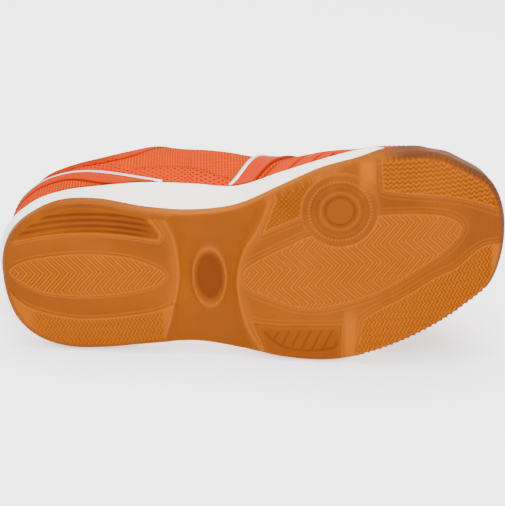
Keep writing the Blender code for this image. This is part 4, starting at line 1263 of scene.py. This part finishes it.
class COURTSHOE_OT_upper(bpy.types.Operator):
    """Hollow cloth upper with its panels, seams, lining and collar padding"""
    bl_idname = "court_shoe.upper"
    bl_label = "Upper"

    def execute(self, context):
        sizes, colours = millimetres(context.scene), context.scene.court_shoe_colours
        q = even_stations(UPPER_STATIONS, UPPER_EASE)
        top = topline_turn(q)
        share = np.linspace(0.0, 1.0, UPPER_ROWS)
        grids, faces, maps, values = [], [], [], {"smooth": [], "seam": [], "pierced": []}
        count = 0
        for side in (-1.0, 1.0):
            turn = top[:, None] + (np.pi / 2 - top[:, None]) * share
            psi = turn if side > 0 else -turn[:, ::-1]
            base = last_point(q[:, None], psi)
            run = arc_lengths(base, 1)
            below = run if side > 0 else run[:, -1:] - run
            above = run[:, -1:] - run if side > 0 else run
            lift, shares = upper_relief(base[..., 0], below, above)
            skin = shell(q[:, None], psi, lift)
            skin[..., 2] -= FOOT_SINK * (1.0 - smooth_step(above, 0.0, 4.0))
            grids.append(skin.reshape(-1, 3))
            faces.append(grid_quads(UPPER_STATIONS, UPPER_ROWS, count))
            mid_length = arc_lengths(base, 0)[:, UPPER_ROWS // 2][:, None]
            maps.append(np.stack([mid_length + 0 * run, above], axis=-1))
            for key in values:
                values[key].append(shares[key].ravel())
            count += UPPER_STATIONS * UPPER_ROWS
        piece = make_mesh("upper_cloth", np.concatenate(grids), np.concatenate(faces),
                          {key: np.concatenate(value) for key, value in values.items()},
                          uv=np.concatenate([m.reshape(-1, 2) for m in maps]))
        finish_piece(piece, cloth_material("upper_mesh", colours, sizes.thread_pitch), ("upper",))
        piece.data.materials.append(knit_material("lining_knit", colours.lining, colours.seam, 1.2))
        wall = piece.modifiers.new("wall", "SOLIDIFY")
        wall.thickness = UPPER_WALL * MM
        wall.offset = -1.0
        wall.material_offset = 1
        wall.material_offset_rim = 1
        self.collar(colours)
        return {"FINISHED"}

    def collar(self, colours):
        """Soft roll inside the collar: an oval carried along the free edge, tapering to its two ends."""
        reach = station(COLLAR_REACH)
        q = np.linspace(-reach, reach, COLLAR_STATIONS)
        turn = topline_turn(np.abs(q))
        ends = np.sqrt(np.clip(1.0 - np.abs(np.linspace(-1.0, 1.0, len(q))) ** 6, 0.0, 1.0))[:, None]
        around = np.linspace(0.0, 2 * np.pi, COLLAR_POINTS, endpoint=False)
        edge = last_point(q, turn)
        normal = last_normal(q, turn)
        down = unit(last_point(q, turn + 0.04) - edge)
        centre = edge - normal * COLLAR_IN + down * COLLAR_DOWN
        thick, deep = COLLAR_ROLL
        points = sweep(centre, normal, down, np.cos(around) * (thick * ends), np.sin(around) * (deep * ends))
        uv = np.stack(np.broadcast_arrays(arc_lengths(centre, 0)[:, None], around * 4.0), axis=-1)
        faces = grid_quads(len(q), len(around), close=True)
        piece = make_mesh("collar_padding", points, faces, uv=uv)
        finish_piece(piece, knit_material("collar_knit", colours.lining, colours.seam, 1.2))


# Panels sewn on the upper

PANEL_SINK = -0.25
PANEL_FACE = OVERLAY_THICK + SEAT_GAP
PANEL_EDGE = 1.3
EDGE_SEAM = 0.7
SLIVER_SHARE = 0.55
SLIVER_SWEEP = (25.0, 56.0)
COUNTER_GRID = (241, 41)
GUARD_GRID = (221, 20)
STRAP_GRID = (61, 25)
EYESTAY_GRID = (241, 61)
EYESTAY_CORNER = 7.0
EYESTAY_STITCH = 0.93
HEEL_TRIM_TURN = 0.012
HEEL_STITCH_TURN = 0.05
TOE_STITCH_TURN = 0.06
TRIM_POINTS = 10
TRIM_FLAT = 1.5
TRIM_OUT = 0.8
TRIM_RADIUS = 0.9

# One stitch: place along it and radius
STITCH_POINTS = 6
STITCH_PROFILE = ((-0.8, 0.0), (-0.55, 0.19), (0.0, 0.25), (0.55, 0.19), (0.8, 0.0))


def panel_points(q, psi, distance):
    """Upper and lower face of a panel: it rises from the cloth in a quarter round near its edge."""
    round_edge = np.sqrt(1.0 - (1.0 - np.clip(distance / PANEL_EDGE, 0.0, 1.0)) ** 2)
    out = PANEL_SINK + (PANEL_FACE - PANEL_SINK) * round_edge
    return shell(q, psi, out), shell(q, psi, np.full(out.shape, PANEL_SINK))


def side_walls(faces, count):
    """Faces joining each open edge of a sheet to the same edge of its copy, whose points come count later."""
    edges = np.concatenate([faces[:, [k, (k + 1) % 4]] for k in range(4)])
    forth, back = edges @ (count, 1), edges @ (1, count)
    a, b = edges[~np.isin(forth, back)].T
    return np.stack([b, a, a + count, b + count], axis=-1)


def add_panel(name, q, psi, distance, material, nodes, flip=False, holes=(), shares=None, uv=None):
    """Closed panel from a grid on the last and each point's distance to the panel's free edge."""
    top, low = panel_points(q, psi, distance)
    rows, columns = top.shape[:2]
    faces = grid_quads(rows, columns)
    for centre in holes:
        arm = top - centre
        reach = np.linalg.norm(arm, axis=-1, keepdims=True)
        gone = (reach < EYELET_RADIUS).ravel()
        faces = faces[~gone[faces].all(axis=1)]
        shift = arm * np.maximum(EYELET_RADIUS / np.maximum(reach, 1e-6) - 1.0, 0.0)
        top, low = top + shift, low + shift
    faces = np.concatenate([faces, faces[:, ::-1] + rows * columns, side_walls(faces, rows * columns)])
    if flip:
        faces = faces[:, ::-1]
    points = np.concatenate([top.reshape(-1, 3), low.reshape(-1, 3)])
    values = {"seam": ridge(distance, EDGE_SEAM), **(shares or {})}
    values = {key: np.concatenate([value.ravel(), value.ravel()]) for key, value in values.items()}
    uv = None if uv is None else np.concatenate([uv.reshape(-1, 2)] * 2)
    piece = make_mesh(name, points, faces, values, uv=uv)
    finish_piece(piece, material, nodes)


def nearest_border(points, first_column=True):
    """Distance of each grid point to the grid's free borders, by running lengths along both axes."""
    rows, columns = arc_lengths(points, 0), arc_lengths(points, 1)
    choices = [rows, rows[-1:] - rows, columns[:, -1:] - columns]
    return np.minimum.reduce(choices + [columns] if first_column else choices)


def counter_line(q):
    """Height of the heel counter's upper edge."""
    return foot_height(q) + PANEL_FOOT + COUNTER_HEIGHT * (1.0 - smooth_step(along(q), *COUNTER_SWEEP))


def guard_line(q):
    """Height of the toe guard's upper edge."""
    foot = foot_height(q)
    rise = GUARD_LOW + GUARD_RISE * smooth_step(along(q), *GUARD_SWEEP)
    return foot + np.minimum(rise, GUARD_SHARE * (read(UPPER, "crest_z", q) - foot))


def band_grid(q, line, rows):
    """Station and angle grids of a panel round an end of the shoe, and the angle of the line at its top."""
    inside = fold_ends(q, 0.0)[0]
    high = turn_at_height(inside, line(inside))
    low = turn_at_height(inside, foot_height(inside) + PANEL_FOOT)
    psi = high[:, None] + (low - high)[:, None] * np.linspace(0.0, 1.0, rows)
    return q[:, None] + 0 * psi, psi, high


def strap_grid(side, rows, columns):
    """Station and angle grids of a slanting side panel."""
    share = np.linspace(0.0, 1.0, rows)[None, :]
    across = np.linspace(0.0, 1.0, columns)[:, None]
    q = station(STRAP_X - STRAP_SLANT * share + across * (STRAP_WIDTH - STRAP_TAPER * share))
    low = turn_at_height(q, foot_height(q) + PANEL_FOOT)
    high = turn_at_width(q, read(TOPLINE, "throat", q) + STRAP_FROM_THROAT)
    return q, side * (high + (low - high) * share)


def ribbon(name, q, psi, material):
    """Thin trim along a line on the last: an oval carried along the line, closed to a point at its ends."""
    centre = shell(q, psi, np.full(len(q), TRIM_OUT))
    normal = last_normal(q, psi)
    across = unit(np.cross(normal, unit(np.gradient(centre, axis=0))))
    around = np.linspace(0.0, 2 * np.pi, TRIM_POINTS, endpoint=False)
    size = np.full((len(centre), 1), TRIM_RADIUS)
    size[[0, -1]] = 1e-4
    points = sweep(centre, normal, across, np.cos(around) * size, np.sin(around) * TRIM_FLAT * size)
    piece = make_mesh(name, points, grid_quads(len(centre), len(around), close=True), weld=FINE_WELD)
    finish_piece(piece, material)


def stitches(name, lines, pitch, material):
    """Rows of short thread loops: small six-sided spindles set along lines on the panels."""
    spin = np.linspace(0.0, 2 * np.pi, STITCH_POINTS, endpoint=False)
    profile = np.array(STITCH_PROFILE)
    single = grid_quads(len(profile), len(spin), close=True)
    size = len(profile) * len(spin)
    points, faces, count = [], [], 0
    for q, psi in lines:
        path = shell(q, psi, np.full(len(q), PANEL_FACE))
        length = arc_lengths(path, 0)
        at = np.arange(pitch / 2, length[-1], pitch)
        place, normal, ahead = (
            np.stack([np.interp(at, length, values[:, axis]) for axis in range(3)], axis=-1)[:, None, None]
            for values in (path, last_normal(q, psi), np.gradient(path, axis=0)))
        ahead = unit(ahead)
        across = np.cross(ahead, normal)
        step = (place + ahead * profile[None, :, None, :1]
                + normal * (profile[:, 1:] * np.cos(spin))[None, ..., None]
                + across * (profile[:, 1:] * np.sin(spin))[None, ..., None])
        points.append(step.reshape(-1, 3))
        faces.append((single[None] + (count + size * np.arange(len(at)))[:, None, None]).reshape(-1, 4))
        count += size * len(at)
    piece = make_mesh(name, np.concatenate(points), np.concatenate(faces)[:, ::-1], weld=FINE_WELD)
    finish_piece(piece, material)


class COURTSHOE_OT_panels(bpy.types.Operator):
    """Panels sewn on the upper, with their trim and stitches"""
    bl_idname = "court_shoe.panels"
    bl_label = "Panels"

    def execute(self, context):
        sizes, colours = millimetres(context.scene), context.scene.court_shoe_colours
        smooth = panel_material(colours)
        trim = plain_material("silver_trim", colours.piping, TRIM_SHADE, 0.38, 900.0, Metallic=0.35)
        thread = plain_material("panel_thread", colours.panel, colours.seam, 0.7, 1500.0)
        lines = [self.heel(sizes, colours, trim), self.toe(smooth)]
        for side, name in ((-1.0, "inner"), (1.0, "outer")):
            q, psi = strap_grid(side, *STRAP_GRID)
            distance = nearest_border(last_point(q, psi))
            add_panel("side_panel_" + name, q, psi, distance, smooth, ("quarter_strap_" + name,),
                      flip=side < 0)
            ribbon("side_trim_" + name, q[0, 2:-2], psi[0, 2:-2], trim)
            lines.append((q[-5, 3:-3], psi[-5, 3:-3]))
            lines.append(self.eyestay(side, name, smooth))
        stitches("panel_stitches", lines, sizes.stitch_pitch, thread)
        return {"FINISHED"}

    def heel(self, sizes, colours, trim):
        """Panel round the heel with a mesh sliver at its foot, its edge trim and the line of its stitches."""
        columns, rows = COUNTER_GRID
        reach = station(COUNTER_FRONT)
        q = np.linspace(-reach, reach, columns)
        grid, psi, high = band_grid(q, counter_line, rows)
        base = last_point(grid, psi)
        distance = nearest_border(base)
        inside = np.abs(q)[:, None]
        foot = foot_height(inside)
        panel_height = counter_line(inside) - foot
        sliver = SLIVER_SHARE * panel_height * (1.0 - smooth_step(along(inside), *SLIVER_SWEEP))
        sliver = sliver - (base[..., 2] - foot)
        shares = {"smooth": smooth_step(-sliver, -0.5, 0.5), "pierced": np.zeros(psi.shape),
                  "seam": np.maximum(ridge(distance, EDGE_SEAM), ridge(sliver, 2 * EDGE_SEAM))}
        uv = np.stack([arc_lengths(base, 0)[:, 12:13] + 0 * psi, arc_lengths(base, 1)], axis=-1)
        cloth = cloth_material("heel_mesh", colours, sizes.thread_pitch)
        add_panel("heel_panel", grid, psi, distance, cloth, ("heel_counter",), shares=shares, uv=uv)
        ribbon("heel_trim", q[2:-2], high[2:-2] + HEEL_TRIM_TURN, trim)
        return q[4:-4], high[4:-4] + HEEL_STITCH_TURN

    def toe(self, smooth):
        """Bumper panel round the toe, and the line of its stitches."""
        columns, rows = GUARD_GRID
        start = station(GUARD_BACK)
        q = np.linspace(start, 2.0 - start, columns)
        grid, psi, high = band_grid(q, guard_line, rows)
        add_panel("toe_panel", grid, psi, nearest_border(last_point(grid, psi)), smooth, ("toe_guard",))
        return q[4:-4], high[4:-4] + TOE_STITCH_TURN

    def eyestay(self, side, name, smooth):
        """Facing along one side of the throat, with punched eyelets, and the line of its stitches."""
        columns, rows = EYESTAY_GRID
        q = station(np.linspace(EYESTAY_BACK, EYESTAY_FRONT, columns))
        top = topline_turn(q)
        end = np.minimum(along(q) - EYESTAY_BACK, EYESTAY_FRONT - along(q))
        corner = np.sqrt(1.0 - 0.6 * np.clip(1.0 - end / EYESTAY_CORNER, 0.0, 1.0) ** 2)
        depth = (np.pi / 2 - top) * EYESTAY_SHARE * corner
        psi = top[:, None] + depth[:, None] * np.linspace(0.0, 1.0, rows)
        grid = q[:, None] + 0 * psi
        base = last_point(grid, side * psi)
        free = np.where(top[:, None] > 0.0, arc_lengths(base, 1), np.inf)
        distance = np.minimum(nearest_border(base, first_column=False), free)
        places = [eyelet_place(row) for row in range(EYELET_ROWS)]
        holes = [shell(a, side * b, np.array(PANEL_FACE)) for a, b in places]
        add_panel("eyestay_" + name, grid, side * psi, distance, smooth, ("eyestay",), flip=side < 0,
                  holes=holes)
        line = top + depth * EYESTAY_STITCH
        return q[3:-3], side * line[3:-3]


# Tongue and lace

TONGUE_GRID = (120, 61)
TONGUE_EASE = 0.08
TONGUE_EDGE = 3.0
TONGUE_BULGE = 3.0
TONGUE_BULGE_END = (130.0, 150.0)
TONGUE_FREE_END = THROAT_START + 12.0
LACE_STEPS = 61
LACE_POINTS = 16
LACE_DIP_FROM = 0.12
LACE_ENTRY = 0.05
LACE_ENTRY_DEPTH = 3.0


class COURTSHOE_OT_tongue(bpy.types.Operator):
    """Padded tongue under the throat"""
    bl_idname = "court_shoe.tongue"
    bl_label = "Tongue"

    def execute(self, context):
        colours = context.scene.court_shoe_colours
        back, front = TONGUE["x"][0], TONGUE["x"][-1]
        rows, columns = TONGUE_GRID
        x = back + (front - back) * eased(rows, TONGUE_EASE)
        q = station(x)
        corner = np.sqrt(1.0 - TONGUE_ROUND * np.clip(1.0 - (x - back) / TONGUE_CORNER, 0.0, 1.0) ** 2)
        width = np.interp(x, TONGUE["x"], TONGUE["width"]) * corner
        psi = turn_at_width(q, width)[:, None] * np.linspace(-1.0, 1.0, columns)
        grid = q[:, None] + 0 * psi
        base = last_point(grid, psi)
        round_edge = np.sqrt(1.0 - (1.0 - np.clip(nearest_border(base) / TONGUE_EDGE, 0.0, 1.0)) ** 2)
        middle = -UPPER_WALL - TONGUE_GAP - TONGUE_THICK / 2
        half = TONGUE_THICK / 2 * round_edge
        throat = turn_at_width(q, np.maximum(read(TOPLINE, "throat", q) - 1.5, 0.5))
        throat = np.where(x < TONGUE_FREE_END, psi[:, -1], throat)[:, None]
        bulge = TONGUE_BULGE * (1.0 - smooth_step(x, *TONGUE_BULGE_END))[:, None]
        bulge = bulge * np.clip(1.0 - (psi / throat) ** 4, 0.0, 1.0)
        top = shell(grid, psi, middle + half + bulge * round_edge)
        low = shell(grid, psi, middle - half)
        faces = grid_quads(rows, columns)
        faces = np.concatenate([faces, faces[:, ::-1] + rows * columns])
        uv = np.stack([arc_lengths(base, 0), arc_lengths(base, 1)], axis=-1).reshape(-1, 2)
        piece = make_mesh("tongue_pad", np.concatenate([top.reshape(-1, 3), low.reshape(-1, 3)]), faces,
                          uv=np.concatenate([uv, uv]))
        knit = knit_material("tongue_knit", colours.lining, colours.seam, 1.4)
        finish_piece(piece, knit, ("tongue",))
        return {"FINISHED"}


def lace_run(start, end, lift, dip):
    """Path of one lace run: up out of one eyelet, over the throat and down into another.

    Its height over the last is level near the eyestay and dips to the tongue in the middle.
    """
    share = np.linspace(0.0, 1.0, LACE_STEPS)
    q = start[0] + (end[0] - start[0]) * share
    psi = start[1] + (end[1] - start[1]) * share
    edge = np.minimum(share, 1.0 - share)
    out = PANEL_FACE + SEAT_GAP + LACE_THICK / 2 + lift - dip * smooth_step(edge, LACE_DIP_FROM, 0.5)
    climb = np.sin(np.minimum(edge / LACE_ENTRY, 1.0) * np.pi / 2)
    return shell(q, psi, (out + LACE_ENTRY_DEPTH) * climb - LACE_ENTRY_DEPTH)


def flat_lace(path, normal):
    """Flat woven strip: a flattened superellipse carried along a path, closed at its hidden ends."""
    tangent = unit(np.gradient(path, axis=0))
    across = unit(np.cross(normal, path[-1] - path[0]))
    across = unit(across - tangent * (tangent @ across)[:, None])
    up = np.cross(across, tangent)
    around = np.linspace(0.0, 2 * np.pi, LACE_POINTS, endpoint=False)
    wide = np.sign(np.cos(around)) * np.abs(np.cos(around)) ** 0.5 * LACE_WIDTH / 2
    high = np.sign(np.sin(around)) * np.abs(np.sin(around)) ** 0.7 * LACE_THICK / 2
    narrow = np.ones((len(path), 1))
    narrow[:4] = narrow[-4:] = 0.7
    narrow[[0, -1]] = 0.0
    points = sweep(path, across, up, wide * narrow, high * np.minimum(narrow * 1.3, 1.0))
    uv = np.stack(np.broadcast_arrays(arc_lengths(path, 0)[:, None], (wide + LACE_WIDTH)[None]), axis=-1)
    return points, uv


class COURTSHOE_OT_lace(bpy.types.Operator):
    """Flat lace through the eyelets, its hidden ends at the top pair"""
    bl_idname = "court_shoe.lace"
    bl_label = "Lace"

    def execute(self, context):
        colours = context.scene.court_shoe_colours
        woven = knit_material("lace_weave", colours.lace, colours.seam, 0.9, roughness=0.75)
        q, psi = eyelet_place(0)
        self.piece("lace_bar_run", [lace_run((q, -psi), (q, psi), 0.0, 0.0)], woven, "lace_bar")
        for row in range(EYELET_ROWS - 1):
            front, back = eyelet_place(row), eyelet_place(row + 1)
            under = lace_run((front[0], -front[1]), (back[0], back[1]), 0.0, LACE_DIP)
            over = lace_run((front[0], front[1]), (back[0], -back[1]), LACE_THICK / 2,
                            LACE_DIP - LACE_THICK / 2)
            number = row + 1
            self.piece("lace_cross_%d" % number, [under, over], woven, "lace_crossing_%d" % number)
        return {"FINISHED"}

    def piece(self, name, paths, material, node):
        """One mesh from the runs of a crossing."""
        points, maps, faces, count = [], [], [], 0
        for path in paths:
            strip, uv = flat_lace(path, last_normal(station(path[:, 0].mean()), 0.0))
            points.append(strip.reshape(-1, 3))
            maps.append(uv.reshape(-1, 2))
            faces.append(grid_quads(*strip.shape[:2], count, close=True))
            count += strip.shape[0] * strip.shape[1]
        mesh = make_mesh(name, np.concatenate(points), np.concatenate(faces), uv=np.concatenate(maps),
                         weld=FINE_WELD)
        finish_piece(mesh, material, (node,))


# Stage

class COURTSHOE_OT_stage(bpy.types.Operator):
    """Pale floor, soft studio lights and the camera"""
    bl_idname = "court_shoe.stage"
    bl_label = "Stage"

    def execute(self, context):
        colours = context.scene.court_shoe_colours
        mesh = bpy.data.meshes.new("floor")
        corners = [(x * FLOOR_HALF, y * FLOOR_HALF, 0) for x, y in ((-1, -1), (1, -1), (1, 1), (-1, 1))]
        mesh.from_pydata(corners, [], [(0, 1, 2, 3)])
        floor = bpy.data.objects.new("floor", mesh)
        context.scene.collection.objects.link(floor)
        material, _, shader = start_material("pale_floor", Roughness=0.9)
        shader.inputs["Base Color"].default_value = colours.floor
        shader.inputs["Emission Color"].default_value = colours.floor
        shader.inputs["Emission Strength"].default_value = 1.0
        mesh.materials.append(material)
        self.lights(context)
        self.camera(context)
        return {"FINISHED"}

    def lights(self, context):
        """Even sky and three soft lamps: one over the shoe, one by the camera and one at its side."""
        world = bpy.data.worlds.new("studio")
        world.use_nodes = True
        sky = world.node_tree.nodes["Background"]
        sky.inputs["Color"].default_value = (1.0, 1.0, 1.0, 1.0)
        sky.inputs["Strength"].default_value = SKY_STRENGTH
        context.scene.world = world
        for name, place, size, power in LAMPS:
            lamp = bpy.data.lights.new(name, "AREA")
            lamp.size = size
            lamp.energy = power
            holder = bpy.data.objects.new(name, lamp)
            context.scene.collection.objects.link(holder)
            away = unit(np.array(place) - np.array(LAMP_TARGET))
            right = unit(np.cross((0.0, 0.0, 1.0), away))
            holder.matrix_world = aimed(right, np.cross(away, right), away, place)

    def camera(self, context):
        """Camera over the tread, tilted towards the inner side and rolled as in the photograph."""
        back = unit(np.array((0.0, -math.tan(CAMERA_TILT), -1.0)))
        right = np.array((1.0, 0.0, 0.0))
        up = np.cross(back, right)
        turned = right * math.cos(CAMERA_ROLL) + up * math.sin(CAMERA_ROLL)
        upright = up * math.cos(CAMERA_ROLL) - right * math.sin(CAMERA_ROLL)
        place = to_row(np.array(CAMERA_TARGET) + CAMERA_DISTANCE * back)
        lens = bpy.data.cameras.new("photo_camera")
        lens.sensor_width = SENSOR
        lens.lens = CAMERA_PIXELS_PER_MM * CAMERA_DISTANCE * SENSOR / PHOTO_LONG_SIDE
        lens.clip_end = 50.0
        camera = bpy.data.objects.new("photo_camera", lens)
        context.scene.collection.objects.link(camera)
        camera.matrix_world = aimed(turned @ AXES, upright @ AXES, back @ AXES, place)
        context.scene.camera = camera


def aimed(right, up, back, place):
    """Matrix of a lamp or camera from its own axes and its place."""
    matrix = np.eye(4)
    matrix[:3, 0], matrix[:3, 1], matrix[:3, 2], matrix[:3, 3] = right, up, back, place
    return Matrix(matrix.tolist())


class COURTSHOE_PT_pieces(bpy.types.Panel):
    """Lists the shoe's pieces and settings"""
    bl_idname = "COURTSHOE_PT_pieces"
    bl_label = "Court Shoe"
    bl_space_type = "VIEW_3D"
    bl_region_type = "UI"
    bl_category = "Shoe"

    def draw(self, context):
        for operator in OPERATORS:
            self.layout.operator(operator.bl_idname)
        for group in (context.scene.court_shoe_sizes, context.scene.court_shoe_colours):
            for name in group.__annotations__:
                self.layout.prop(group, name)


OPERATORS = (COURTSHOE_OT_outsole, COURTSHOE_OT_midsole, COURTSHOE_OT_insole, COURTSHOE_OT_upper,
             COURTSHOE_OT_panels, COURTSHOE_OT_tongue, COURTSHOE_OT_lace, COURTSHOE_OT_stage)
CLASSES = (CourtShoeSizes, CourtShoeColours, *OPERATORS, COURTSHOE_PT_pieces)


def register():
    for cls in CLASSES:
        bpy.utils.register_class(cls)
    bpy.types.Scene.court_shoe_sizes = PointerProperty(type=CourtShoeSizes)
    bpy.types.Scene.court_shoe_colours = PointerProperty(type=CourtShoeColours)


def unregister():
    del bpy.types.Scene.court_shoe_colours
    del bpy.types.Scene.court_shoe_sizes
    for cls in reversed(CLASSES):
        bpy.utils.unregister_class(cls)


def main():
    register()
    for operator in OPERATORS:
        group, name = operator.bl_idname.split(".")
        getattr(getattr(bpy.ops, group), name)()


if __name__ == "__main__":
    main()
